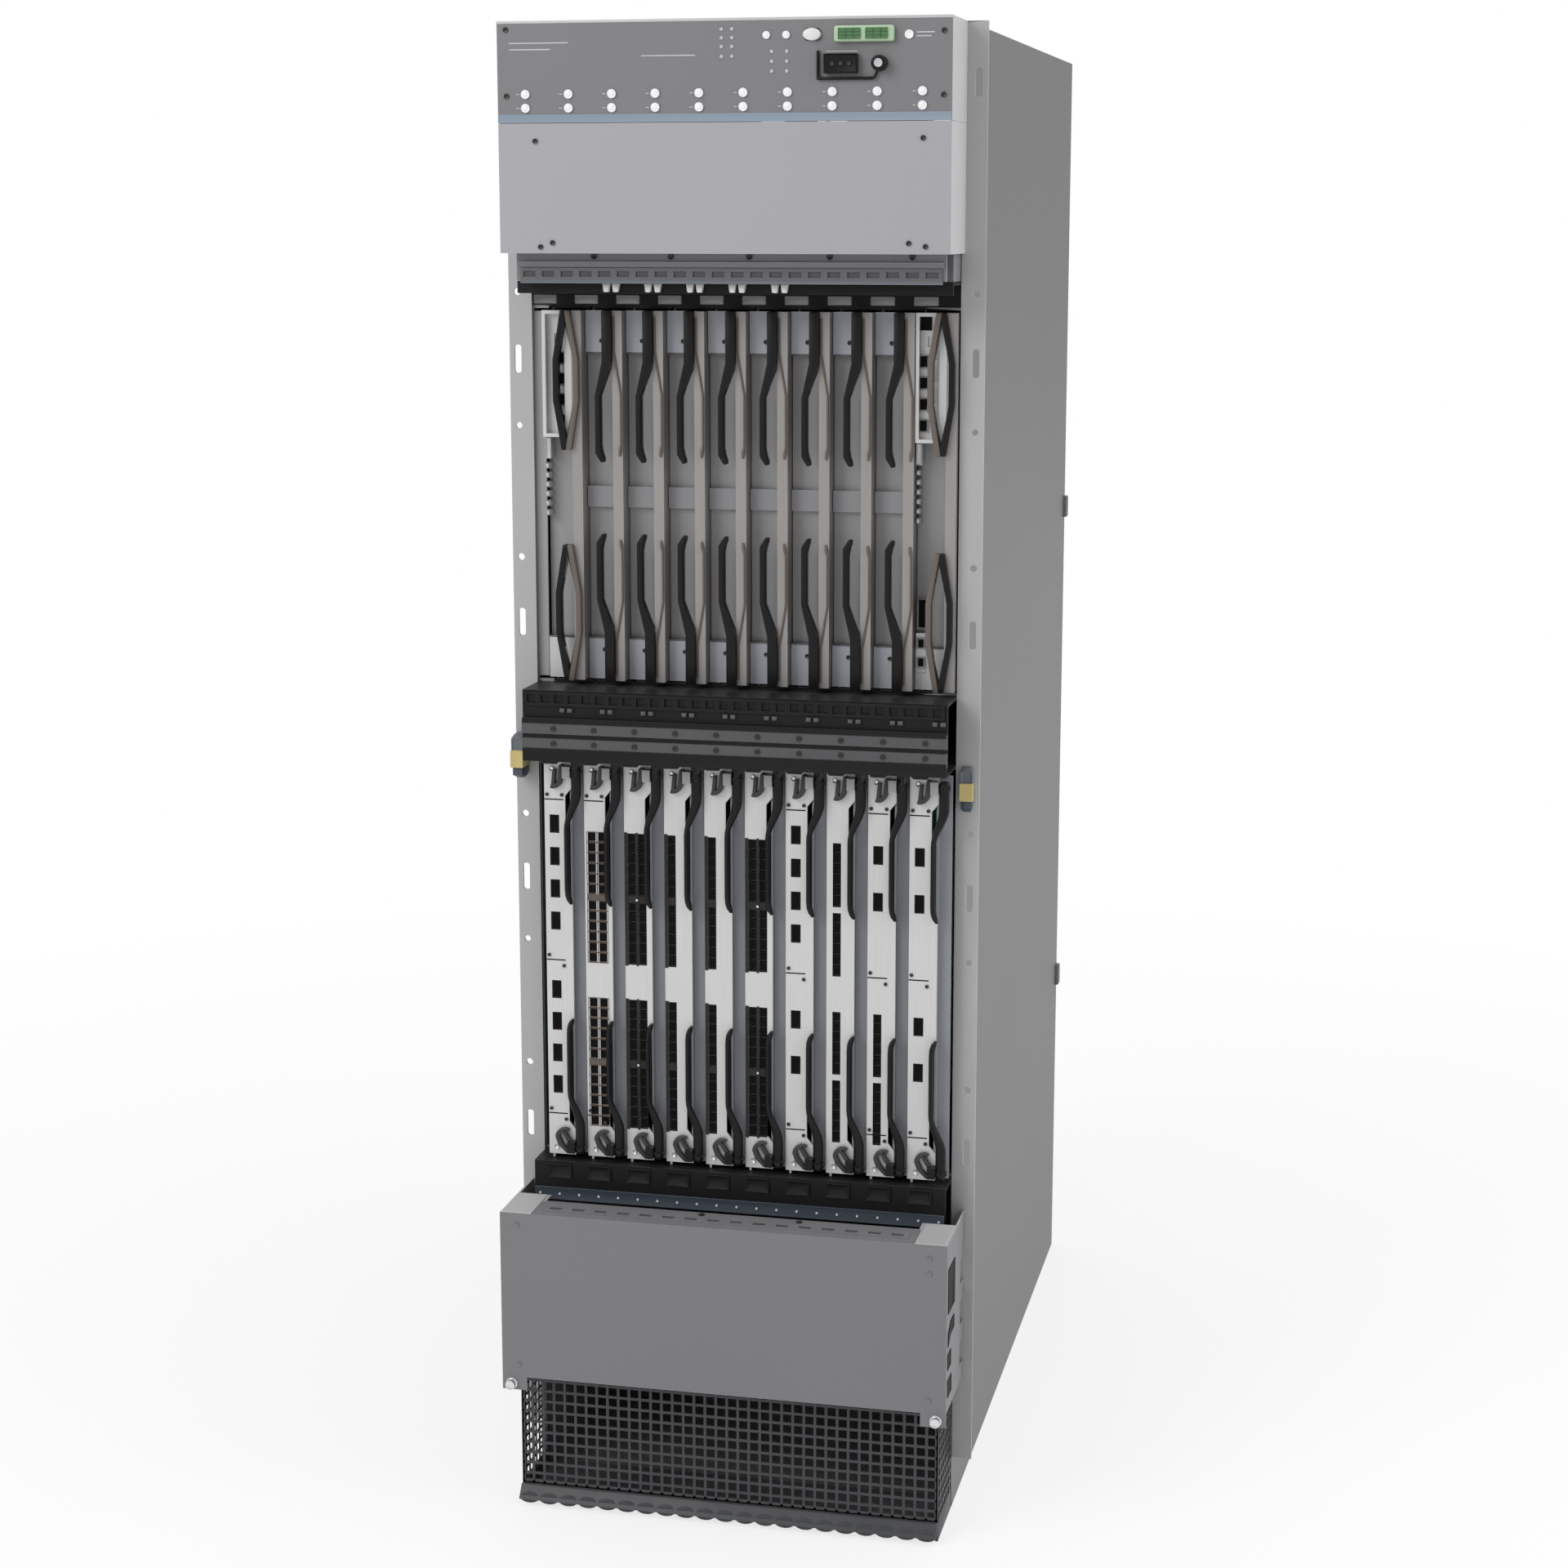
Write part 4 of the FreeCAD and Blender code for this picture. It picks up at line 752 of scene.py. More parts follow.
def addSmallPorts(number, column, banks, finish="portCage", kind=smallPort):
    name, pitch, count = cardNodes[number - 1], portRow["pitch"], portRow["count"]
    x = columns[column] + slotX[number] + (smallPort["width"] - kind["width"]) / 2
    margin = (pitch - kind["height"]) / 2
    port = makePort("smallPort", kind, x, lineFloor + banks[0] + margin)
    rowOf(port, count, (0, 0, pitch))
    shifts = [(0, 0, bank - banks[0] + stack) for bank in banks for stack in (0, portRow["stack"])][1:]
    spec = {**bridge, "x": (0, kind["width"]), "z": (-margin, portRow["gap"] + margin)}
    bridges = [makeTile("bridge", spec, (x, cardFace, lineFloor + bank + pitch * count))
               for bank in (banks if column != "single" else [])]
    pieces = [port] + [copyTo(port, "ports", shift) for shift in shifts] + bridges
    dressPorts(f"{name}_{column}Ports", pieces, name, finish, kind)


banks = (35, 210)
lowBank, highBank = banks
quadUp, pairUp = [33 + 34 * n for n in range(4)], [70, 118]
addLargePorts(1, [bank + rise for bank in banks for rise in quadUp])
addLargePorts(7, [lowBank + rise for rise in pairUp] + [highBank + rise for rise in quadUp])
addLargePorts(9, [highBank + rise for rise in pairUp])
addLargePorts(10, [bank + rise for bank in banks for rise in pairUp])
for column in ("left", "right"):
    addSmallPorts(2, column, banks, "portTan", roundPort)
    for number in (3, 6):
        addSmallPorts(number, column, banks)
for number, column in ((4, "left"), (5, "left"), (8, "single")):
    addSmallPorts(number, column, banks)
addSmallPorts(9, "single", [lowBank])
print("ports done")

# seams between the modules of a card, with captive screws beside them
seams = {1: (46, 211, 380), 2: (46, 380), 7: (46, 211, 380), 9: (46, 211, 380), 10: (46, 211, 380)}
seam = dict(x=(0.2 - cardHalf, 6), y=(-0.25, 0.2), z=(-0.6, 0.6), rim=0.25, sink=0.15)
captive = dict(radius=1.9, proud=1.6, left=3 - cardHalf, right=4.5, above=5, below=-6, upper=300)
for number, heights in seams.items():
    name, x = cardNodes[number - 1], slotX[number]
    dressRow(f"{name}_seams", [makeTile("seam", seam, (x, cardFace, lineFloor + height)) for height in heights],
             name, "portDark")
    spots = []
    for height in heights:
        lift = captive["above"] if height > captive["upper"] else captive["below"]
        spots += [(x + captive["left"], cardFace, lineFloor + height + captive["above"]),
                  (x + captive["right"], cardFace, lineFloor + height + lift)]
    addScrews(f"{name}_captives", spots, captive, name)

# dark margin of the paired port columns and the grip pins between them
edgeStrip = dict(x=(0.1 - cardHalf, portEdge - 0.1), y=(-0.5, 0.2), z=(-1, 139), rim=0.5, sink=0.2)
centreBar = dict(x=(portEdge + 8.5, portEdge + 10.9), y=(-0.9, 0.2), z=(-1, 139), soft=0.4)
gripPin = dict(radius=1.3, proud=1.4, shift=portEdge + 9.7, reach=0.9, rise=69)
for number in (3, 4, 5, 6):
    name, x = cardNodes[number - 1], slotX[number]
    paired, pieces = number in (3, 6), []
    for bank in banks:
        pieces.append(makeTile("edgeStrip", edgeStrip, (x, cardFace, lineFloor + bank)))
        if paired:
            pieces.append(makeTile("centreBar", centreBar, (x, cardFace, lineFloor + bank)))
    dressRow(f"{name}_columnTrim", pieces, name, "trimGrey")
    if paired:
        spots = [(x + gripPin["shift"], cardFace - gripPin["reach"], lineFloor + bank + gripPin["rise"])
                 for bank in banks]
        addScrews(f"{name}_pins", spots, gripPin, name, "brightSteel")
print("line card trim done")

# fabric board handles: bent bars over the CAD ones; control board handles: loops of two bars round the rib, the inward
# bar painted pale brown as painted light on the lit arm, the other black as the shaded arm
handleMargin, squareRing = 2, 1.414  # the second turns a side length into the width across corners
boardGrip = dict(root=boardHalf - 2.3, grip=boardHalf - 14.3, front=-9, width=5.5, depth=10.8, lead=-0.4, stem=50,
                 foot=4.4, bend=84, straight=134, tip=[(141, 0.7, 6.9), (146, 3, 5.6), (150, 4.4, 3)])
gripStud = dict(radius=2.2, proud=1.6, shift=boardHalf - 14.8, depth=6, offset=30)
loopGrip = dict(middle=boardHalf - 5, front=-9, width=5.7, depth=10.8, bow=[(-0.4, 2.2), (6, 3.2), (49, 10.5),
                (89, 10.5), (132, 3.2), (138.4, 2.2)])
barEdge = dict(soft=1.1, angle=60)


def squareBar(name, rows, spec, start, turn):
    # bar of square section through rows of (x, offset, width)
    rings = [(x, spec["front"], start + turn * offset, width * squareRing, spec["depth"] * squareRing)
             for x, offset, width in rows]
    return soften(sweep(name, rings, 4), barEdge)


for end in ("upper", "lower"):
    start, turn = endOf(end, fabricFloor, fabricTop, handleMargin)
    grip, wide = boardGrip["grip"], boardGrip["width"]
    foot, footWide = boardGrip["root"] - boardGrip["foot"] / 2, wide + boardGrip["foot"]
    rows = [(foot, boardGrip["lead"], footWide), (foot, boardGrip["stem"], footWide), (grip, boardGrip["bend"], wide),
            (grip, boardGrip["straight"], wide)]
    rows += [(grip + lean, offset, width) for offset, lean, width in boardGrip["tip"]]
    bar = squareBar(f"{end}Grip", rows, boardGrip, start, turn)
    stud = makeScrew("gripStud", (gripStud["shift"], gripStud["depth"], start + turn * gripStud["offset"]), gripStud)
    dressCopies(plainBoards, (bar, f"{end}Grip", "blackMould"), (stud, f"{end}Stud", "darkScrew"))
for end in ("upper", "lower"):
    start, turn = endOf(end, fabricFloor, fabricTop, handleMargin)
    bars = [squareBar("loopBar", [(loopGrip["middle"] + side * lean, offset, loopGrip["width"])
                                  for offset, lean in loopGrip["bow"]], loopGrip, start, turn) for side in (-1, 1)]
    shape = joinPieces("loop", bars)
    for name, inward in zip(controlBoards, (1, -1)):
        middle = (placeOf[name] + loopGrip["middle"]) * mm
        dress(copyTo(shape, f"{name}_{end}Loop", (placeOf[name], 0, 0)), name, "blackMould",
              (lambda c, n: (c.x - middle) * inward > 0, "wireBrown"))
    bpy.data.objects.remove(shape)

# latch wire down the front of each rib; its pale brown is painted light, the lit arm of each handle beside the black
# shaded one
litRibArm = dict(front=-8.6, left=boardHalf + 2, right=boardHalf + 8.6, width=2.2, sides=10, rows=[(6, 0), (40, 0),
               (62, 0.5), (82, 1), (132, 1)], tip=[(138, -0.8, -0.4, 3.6, 3), (144, -1.6, -0.4, 2, 2)])
for end in ("upper", "lower"):
    start, turn = endOf(end, fabricFloor, fabricTop, handleMargin)
    reach = litRibArm["right"] - litRibArm["left"]
    rings = [(litRibArm["left"] + reach * share, litRibArm["front"], start + turn * offset, litRibArm["width"],
              litRibArm["width"]) for offset, share in litRibArm["rows"]]
    rings += [(litRibArm["right"] + lean, litRibArm["front"] + proud, start + turn * offset, width, depth)
              for offset, lean, proud, width, depth in litRibArm["tip"]]
    dressCopies(plainBoards, (sweep("litRibArm", rings, litRibArm["sides"]), f"{end}Wire", "wireBrown"))

# dark seam under each end block
endSeam = dict(x=(0.5 - boardHalf, boardHalf - 0.5), y=(5.7, 13.7), z=(-1, 0.8), soft=0.3, margin=44)
for name in fabricNodes:
    levels = [endOf(end, fabricFloor, fabricTop, endSeam["margin"])[0] for end in ("lower", "upper")]
    used = levels if name in plainBoards else levels[:1]
    dressRow(f"{name}_endSeams", [makeTile("endSeam", endSeam, (placeOf[name], 0, level)) for level in used],
             name, "slotPaint")
print("board handles done")

# control board fittings: jacks, key pad, lamps, toothed clip
fitting = dict(floor=2, socket=0.8, pitch=20.8, start=fabricTop - 117, across=(5, -9.2), rows=4)
jack = dict(x=(-5.2, 5.2), y=(-3.2, 0.4), z=(-1, 12), rim=0.9, sink=2.6, soft=0.3, segments=1)
jackFloor = flangeY + (fitting["floor"] - fitting["socket"]) * mm
keyPad = dict(x=(-4, 8), y=(-2.2, 0.4), z=(-19, -6), rim=1.2, sink=0.7, soft=0.4)
jackLamp = dict(radius=1.3, proud=1.2, sides=10, shift=-3.5, rise=0.8)
toothClip = dict(x=(-15, -9), y=(-2, 12), z=(-150, -129), rim=1.5, sink=2, soft=0.6)
teeth = dict(x=(-15.6, -11), y=(2, 13.5), z=(168, 174), soft=0.5, draw=(0, -3, 0), taper=(0.6, 1, 0.6), count=6,
             pitch=9.5)
for name, shift in zip(controlBoards, fitting["across"]):
    middle, across = placeOf[name], placeOf[name] + shift
    levels = [fitting["start"] + row * fitting["pitch"] for row in range(fitting["rows"])]
    dressRow(f"{name}_jacks", [makeTile("jack", jack, (across, fitting["floor"], level)) for level in levels], name,
             "jackFrame", (lambda c, n: c.y > jackFloor and n.y < -squareOff, "portDark"))
    dressTile("keyPad", keyPad, "portDark", (across, fitting["floor"], fabricTop), name)
    spots = [(across + jackLamp["shift"], fitting["floor"], level + jackLamp["rise"] * fitting["pitch"])
             for level in levels]
    addScrews(f"{name}_lamps", spots, jackLamp, name, "lampWhite")
    clip = makeTile("toothClip", toothClip, (middle, 0, fabricTop))
    comb = makeDrawn("teeth", teeth, (middle, 0, fabricFloor), front)
    rowOf(comb, teeth["count"], (0, 0, teeth["pitch"]))
    dressRow(f"{name}_clips", [clip, comb], name, "jackFrame")

# lower sockets of the right control board: plate, two sockets and a dark bay above
socketPlate = dict(x=(-15.2, -4.6), y=(5.2, 13.8), z=(19, 59), rim=0.8, sink=0.4, soft=0.3, segments=1)
lowSocket = dict(x=(-14, -5.8), y=(2.6, 5.7), z=(0, 11), rim=1, sink=1.9, soft=0.3, segments=1, rises=(24, 43))
plugBay = dict(x=(-15.2, -4.6), y=(8, 13.8), z=(62, 93), rim=1.2, sink=3.4, soft=0.3, segments=1)
socketFloor = dict(depth=4.5, play=0.3, bay=11)
x = slotX[slotCount]
sockets = [makeTile("socketPlate", socketPlate, (x, 0, fabricFloor))]
sockets += [makeTile("socket", lowSocket, (x, 0, fabricFloor + rise)) for rise in lowSocket["rises"]]
sockets.append(makeTile("plugBay", plugBay, (x, 0, fabricFloor)))
dressRow("lowerSockets", sockets, controlBoards[1], "jackFrame",
         (lambda c, n: n.y < -squareOff and (abs(c.y - flangeY - socketFloor["depth"] * mm) < socketFloor["play"] * mm
                                             or c.y > flangeY + socketFloor["bay"] * mm), "portDark"))
filler = dict(x=(0.4 - flangeInner, span(controlBoards[0])[0][0] - 0.6), y=(6, 9), z=(fabricFloor + 3, fabricTop - 3),
              rim=1.2, sink=0.4, soft=0.4)
dressTile("slotFiller", filler, "fabricGrey")
print("control boards done")

# strips and tabs over the upper boards
lipFront, lipHalf, slotLow, slotHigh = -61.6, 209, 1267, 1279
lipEdge = dict(x=(-211, 211), y=(lipFront - 1, -60), z=(1279.6, 1285), rim=0.8, sink=0.6, soft=0.5)
slotted = dict(cells=(22, 1), web=6.4, thick=1.6)
slotShadeBack = dict(x=(-lipHalf, lipHalf), y=(-60.9, -60.2), z=(slotLow + 0.5, slotHigh - 0.5), rim=1, sink=0.2)
blueStrip = dict(x=(-lipHalf, lipHalf), y=(lipFront - 0.8, -56), z=(1264, slotLow), rim=0.6, sink=0.3, soft=0.4)
lipReturn = dict(y=(-44, -1), z=(1266.4, 1300), rim=2, sink=1, soft=0.6, range=(203, 217))
pullTab = dict(x=(0, 7.4), y=(-51.6, -45.8), z=(1255.4, 1264), rim=0.9, sink=-0.6, soft=0.4, segments=1,
               shifts=(19, 28.6), slots=range(2, 7), taper=(0.6, 1, 1))
stopBar = dict(x=(-10, 13.2), y=(-49, -44.5), z=(1244, 1252.4), rim=1.2, sink=0.8, soft=0.6)
lipScrew = dict(radius=3, proud=1.8, x=(-134, -57, 21, 100, 180), y=-60, z=1290)
dressTile("lipEdge", lipEdge, "lipPaint")
dress(perforate("slottedStrip", (-lipHalf, lipFront, slotLow), (lipHalf, lipFront, slotHigh), **slotted),
      "chassis", "slotPaint")
# dark strip behind the slotted strip: painted shade, darkening the lip seen through the slots
dressTile("slotShadeBack", slotShadeBack, "railBar")
dressTile("blueStrip", blueStrip, "stripBlue")
for side in (-1, 1):
    dressTile("lipReturn", {**lipReturn, "x": mirrored(side, *lipReturn["range"])}, "lipPaint")
tabs = []
for number in pullTab["slots"]:
    for shift in pullTab["shifts"]:
        tab = startTile("tab", pullTab, (slotX[number] + shift, 0, 0))
        pickFaces(tab, toward(under))
        bpy.ops.transform.resize(value=pullTab["taper"])
        tabs.append(soften(leaveEdit(), pullTab))
dressRow("pullTabs", tabs, "chassis", "lightMould")
dressRow("stopBars", [makeTile("stop", stopBar, (slotX[n], 0, 0)) for n in slots], "chassis", "railBar")
addScrews("lipScrews", [(x, lipScrew["y"], lipScrew["z"]) for x in lipScrew["x"]], lipScrew)
print("upper strips done")

# middle rail: slotted ledge, dashes, screws of the bars, dark strips and fingers below
midRail = dict(gap=2.8, barDrop=10, ledgeMargin=3, ledgeDepth=2.4, ledgeLow=15, ledgeHigh=1.5)
midLow, midHigh = lineTop + midRail["gap"], fabricFloor - midRail["gap"]
midBars = (midLow + midHigh) / 2 - midRail["barDrop"]
ledgeX, ledgeY = railHalf - midRail["ledgeMargin"], midFront + midRail["ledgeDepth"]
ledge = dict(cells=(30, 1), web=4.6, thick=1.6)
dash = dict(x=(0, 5), y=(0.4, 4.4), z=(-21.5, -17.5), soft=0.3, segments=1, draw=(0, -0.8, 0), taper=(0.7, 1, 0.7),
            shifts=(12.6, 20.4))
barScrew = dict(radius=2.9, proud=1.3, sides=12, shift=6, lifts=(-7.4, 7.6))
groove = dict(x=(1 - railHalf, railHalf - 1), y=(-0.3, 5), z=(-2.2, 2.2), rim=0.8, sink=1.5)
railStrip = dict(x=(0.6 - railHalf, railHalf - 0.6), y=(-0.9, 3), rim=1.4, sink=0.5, soft=0.4)
railStrips = {"railSkirt": (midLow + 0.3 - midBars, -12.4), "railCap": (13, 18.6)}
finger = dict(x=(-7.4, 9), y=(1, 6), z=(-1.4, 4), rim=1.8, sink=1.6, soft=0.5, draw=(0, 1, -1.4), taper=(0.8, 0.7, 1))
dress(perforate("midLedge", (-ledgeX, ledgeY, midHigh - midRail["ledgeLow"]),
                (ledgeX, ledgeY, midHigh - midRail["ledgeHigh"]), **ledge), "chassis", "blackRail")
dressRow("railDashes", [makeDrawn("dash", dash, (slotX[n] + shift, midFront, midHigh), front) for n in slots
                        for shift in dash["shifts"]], "chassis", "railBar")
spots = [(slotX[n] + barScrew["shift"], midFront, midBars + lift) for n in slots for lift in barScrew["lifts"]]
addScrews("barScrews", spots, barScrew)
dressTile("barGroove", groove, "blackRail", (0, midFront, midBars))
for name, levels in railStrips.items():
    dressTile(name, {**railStrip, "z": levels}, "blackRail", (0, midFront, midBars))
dressRow("railFingers", [makeDrawn("finger", finger, (slotX[n], midFront, midLow), under) for n in slots], "chassis",
         "trimGrey")
print("middle rail done")

# lower rail: brackets per slot and the label strip
(_, lowFront, _), (_, _, lowTop) = span("lower_card_rail")
bracket = dict(x=(-12, 13), y=(-3, 0.5), z=(-17, -2), rim=3, sink=2, soft=0.8)
labelStrip = dict(x=(1 - railHalf, railHalf - 1), y=(-2.6, 0.4), z=(-41, -28), rim=1.2, sink=0.6, soft=0.5)
labelDot = dict(radius=1.3, proud=0.9, sides=10, reach=2, drop=34.5, count=21)
dressRow("slotBrackets", [makeTile("bracket", bracket, (slotX[n], lowFront, lowTop)) for n in slots], "chassis",
         "blackRail")
dressTile("labelStrip", labelStrip, "labelBlue", (0, lowFront, lowTop))
spots = [(slotPitch / 2 * (n - labelDot["count"] // 2), lowFront - labelDot["reach"], lowTop - labelDot["drop"])
         for n in range(labelDot["count"])]
addScrews("labelDots", spots, labelDot, "chassis", "lightMould")
print("lower rail done")

# tag holders on both flanges
tagPlaces = ((-233.4, -24, 790), (229, -8, 772))
tagHolder = dict(x=(-6, 6), z=(0, 13), rim=1.4, sink=1.2, soft=0.8, draw=(0, 3, 4), taper=(0.8, 0.5, 1))
tag = dict(x=(-6.8, 6.8), z=(-17, 1), rim=1, sink=0.4, soft=0.7, proud=1.6, back=-1)
tagPost = dict(x=(-5.4, 5.4), z=(-25, -16), recess=2, soft=0.8, draw=(0, 3, -4), taper=(0.7, 0.5, 1))
for across, reach, level in tagPlaces:
    base = (across, 0, level)
    dress(makeDrawn("tagHolder", {**tagHolder, "y": (reach, 0)}, base, top), "chassis", "stripBlue")
    dressTile("tag", {**tag, "y": (reach - tag["proud"], tag["back"])}, "yellowTag", base)
    dress(makeDrawn("tagPost", {**tagPost, "y": (reach + tagPost["recess"], 0)}, base, under), "chassis", "labelBlue")
print("tags done")

# status panel: slot lamps, pilots, ticks, band and top edge
hood = (0, hoodFace, topEdge)
slotLamp = dict(start=-193, pitch=386 / 9, rows=(14, 27), radius=4.3, length=2.2, sides=20)
pilotLamp = dict(x=(44, 63), drop=16, radius=3.6, length=2, sides=20)
lens = dict(rim=0.22, sink=0.5, core=0.1, coreRim=0.3, bulge=0.9, soft=0.35)
tick = dict(x=(-9.4, -6.4), y=(-0.3, 0.2), z=(-0.5, 0.5), rim=0.2, sink=0.1)
panelBand = dict(x=(-220.5, 220.5), y=(-0.5, 0.4), z=(0.4, 8), rim=0.6, sink=0.2)
panelTop = dict(x=(-221.4, 221.4), y=(-0.6, 2), z=(-2.4, 0.3), soft=0.5)


def makeLamps(name, places, spec):
    x, y, z = places[0]
    radius = spec["radius"]
    lamp = startRod(name, (x, y - spec["length"] / 2, z), spec)
    setIn(lamp, {"rim": radius * lens["rim"], "sink": lens["sink"]})
    core = radius * lens["core"] * mm
    insetFaces(lamp, lambda c, n: n.y < -squareOff and math.hypot(c.x - x * mm, c.z - z * mm) < core,
               radius * lens["coreRim"], (0, -lens["bulge"], 0))
    return scatter(soften(lamp, lens), name, places[0], places[1:])


spots = [(slotLamp["start"] + slotLamp["pitch"] * n, hoodFace, statusBottom + row) for n in range(slotCount)
         for row in slotLamp["rows"]]
pilots = [(x, hoodFace, topEdge - pilotLamp["drop"]) for x in pilotLamp["x"]]
allLamps = dressRow("panelLamps", [makeLamps("slotLamps", spots, slotLamp),
                                   makeLamps("pilotLamps", pilots, pilotLamp)], "chassis", "lampWhite")
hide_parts("status_lamps")
dressRow("lampTicks", [makeTile("tick", tick, spot) for spot in spots], "chassis", "markPale")
dressTile("panelBand", panelBand, "bluePlate", (0, hoodFace, statusBottom))
dressTile("panelTop", panelTop, "bezelPaint", hood)

# press button and relay plugs
pressButton = dict(radius=8.6, length=6, sides=28, squash=0.66, rim=1.4, sink=-0.8, soft=0.6, segments=3,
                   centre=(88, hoodFace - 1, topEdge - 16))
relayFrame = dict(x=(109.5, 166.5), y=(-7, 0), z=(-23.4, -8.6), soft=2.4, segments=3, angle=60, cuts=1)
relayPlug = dict(x=(0, 21), y=(-8.4, -6), z=(-21, -11), cuts=2, cellRim=0.6, cellSink=1.1, starts=(114, 140))
button = dress(makeBoss("pressButton", pressButton, pressButton["centre"]), "alarm_button", "lightMould")
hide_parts("alarm_button")
relay = soften(splitFront(startTile("relayFrame", relayFrame, hood), relayFrame["cuts"]), relayFrame)
plugs = []
for start in relayPlug["starts"]:
    plug = splitFront(startTile("relayPlug", relayPlug, (start, hoodFace, topEdge)), relayPlug["cuts"])
    plugs.append(insetFaces(plug, toward(front), relayPlug["cellRim"], (0, relayPlug["cellSink"], 0), True))
dress(relay, "chassis", "relayPale")
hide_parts("relay_terminals")
dressRow("relayPlugs", plugs, "chassis", "greenMould")

# service port with its wire guard and clamp knob
serviceSocket = dict(x=(100, 132), y=(-8, 0), z=(-52, -34), rim=1.6, sink=3, soft=0.6)
guard = dict(reach=2.6, wire=3, sides=10, left=[(94, 31), (94, 56)], right=[(147, 57), (151, 49), (153, 43)])
guardFoot = dict(radius=1.5, length=54, sides=10, soft=0.4, x=120, drop=56.5)
clampKnob = dict(radius=7.4, length=10, sides=24, rim=1.2, sink=-1.4, soft=0.6, x=153, reach=5, drop=43)
knobHighlight = dict(radius=4, proud=1.6, sides=20, reach=11.4)
socketPin = dict(radius=1.9, proud=1.6, sides=12, x=(108, 116, 124), reach=5)
portLevel, guardY = topEdge - clampKnob["drop"], hoodFace - guard["reach"]


def guardWire(name, points):
    rings = [(x, guardY, topEdge - drop, guard["wire"], guard["wire"]) for x, drop in points]
    return sweep(name, rings, guard["sides"])


socket = makeTile("serviceSocket", serviceSocket, hood)
wires = [guardWire("guardLeft", guard["left"])]
wires.append(soften(startRod("guardFoot", (guardFoot["x"], guardY, topEdge - guardFoot["drop"]), guardFoot, "X"),
                    guardFoot))
wires.append(guardWire("guardRight", guard["right"]))
knob = makeBoss("clampKnob", clampKnob, (clampKnob["x"], hoodFace - clampKnob["reach"], portLevel))
service = dressRow("serviceSet", [socket, knob] + wires, "chassis", "blackMould")
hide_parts("service_port")
spots = [(x, hoodFace - socketPin["reach"], portLevel) for x in socketPin["x"]]
addScrews("socketPins", spots, socketPin, "chassis", "hookGrey")
# pale cap on the black clamp knob: a painted highlight
addScrews("knobHighlight", [(clampKnob["x"], hoodFace - knobHighlight["reach"], portLevel)], knobHighlight, "chassis", "markPale")

# small marks, lights and screws of both panels
jackDot = dict(radius=4.2, proud=1.8, sides=18, x=180, drop=17)
panelMark = dict(y=(-0.25, 0.2), z=(-1.2, 0), rim=0.2, sink=0.1, lines=[(-209, -150, 20), (-209, -168, 26),
                 (-78, -25, 33), (101, 131, 31), (187, 204, 14.5), (187, 201, 18)])
stateLight = dict(radius=1.7, proud=0.9, sides=10, blocks=[((0.5, 10.6), (10, 18, 26, 35)),
                  ((49, 63.6), (31, 40, 49))])
panelScrew = dict(radius=2.6, proud=1.4, places=[(-212, 8), (213, 14), (-212, 70), (213, 72)])
accessScrew = dict(radius=2.6, proud=1.5, places=[(-184, 1399), (194, 1400), (-180, 1299), (-168, 1303), (181, 1303),
                   (197, 1300)])
addScrews("jackDot", [(jackDot["x"], hoodFace, topEdge - jackDot["drop"])], jackDot, "chassis", "lampWhite")
dressRow("panelMarks", [makeTile("mark", {**panelMark, "x": (start, end)}, (0, hoodFace, topEdge - drop))
                        for start, end, drop in panelMark["lines"]], "chassis", "markPale")
lights = [(x, hoodFace, topEdge - drop) for across, drops in stateLight["blocks"] for x in across for drop in drops]
addScrews("stateLights", lights, stateLight, "chassis", "markPale")
addScrews("panelScrews", [(x, hoodFace, topEdge - drop) for x, drop in panelScrew["places"]], panelScrew)
addScrews("accessScrews", [(x, hoodFace, z) for x, z in accessScrew["places"]], accessScrew)
print("status panel done")

# lower cover: gusset plates, ledge slots, screws, thumb screws and side cut-outs, the cut-outs as near-black plates of
# painted shade
(_, coverFace, coverFoot), (coverHalf, _, coverTop) = span("lower_cover")
lugDrop = 14  # how far the lugs hang below the cover's face
coverLow = coverFoot + lugDrop
coverBase = (0, coverFace, coverTop)
gusset = dict(y=(0.6, 60), z=(-0.4, 1.2), rim=3, sink=0.5, soft=0.5, range=(coverHalf - 33, coverHalf - 1))
ledgeSlots = dict(cells=(16, 1), web=11, thick=1.2, axis="Z")
ledgeSpan = dict(x=(-190, 190), y=(12, 30), lift=0.4)
ledgeShade = dict(x=(-188, 188), y=(13, 29), z=(-0.2, 0.1), rim=1, sink=-0.05)
coverScrew = dict(radius=2.4, proud=1.4, fromTop=[(-214, 12), (214, 14), (214, 30)], fromFoot=[(-214, 14), (214, 14)])
ledgeScrew = dict(radius=3, length=1.6, sides=14, rim=1.2, sink=0.7, soft=0.3, x=(-28, 74), depth=36, lift=0.8)
thumbStem = dict(radius=5, length=8, sides=20, rim=1.4, sink=0.9, soft=0.5, reach=4)
thumbCollar = dict(radius=6, length=1.4, sides=20, rim=0.6, sink=-0.3, reach=0.7)
thumbs = dict(x=(-222, 222), drop=7)
sideSlot = dict(rim=1.4, sink=0.5, soft=0.3, segments=1, range=(coverHalf - 0.2, coverHalf + 0.8),
                cuts=[(-103, -64, 252, 299), (-103, -84, 193, 210), (-103, -80, 164, 182)],
                slanted=(-88, -66, 226, 240), slant=(0, -14, -9))
for sign in (-1, 1):
    dressTile("gussetPlate", {**gusset, "x": mirrored(sign, *gusset["range"])}, "gussetPaint", coverBase, side=top)
ledgeLow, ledgeHigh = ((ledgeSpan["x"][end], coverFace + ledgeSpan["y"][end], coverTop + ledgeSpan["lift"])
                       for end in (0, 1))
dress(perforate("ledgeSlots", ledgeLow, ledgeHigh, **ledgeSlots), "chassis", "coverPaint")
dressTile("ledgeShade", ledgeShade, "hookGrey", coverBase, side=top)
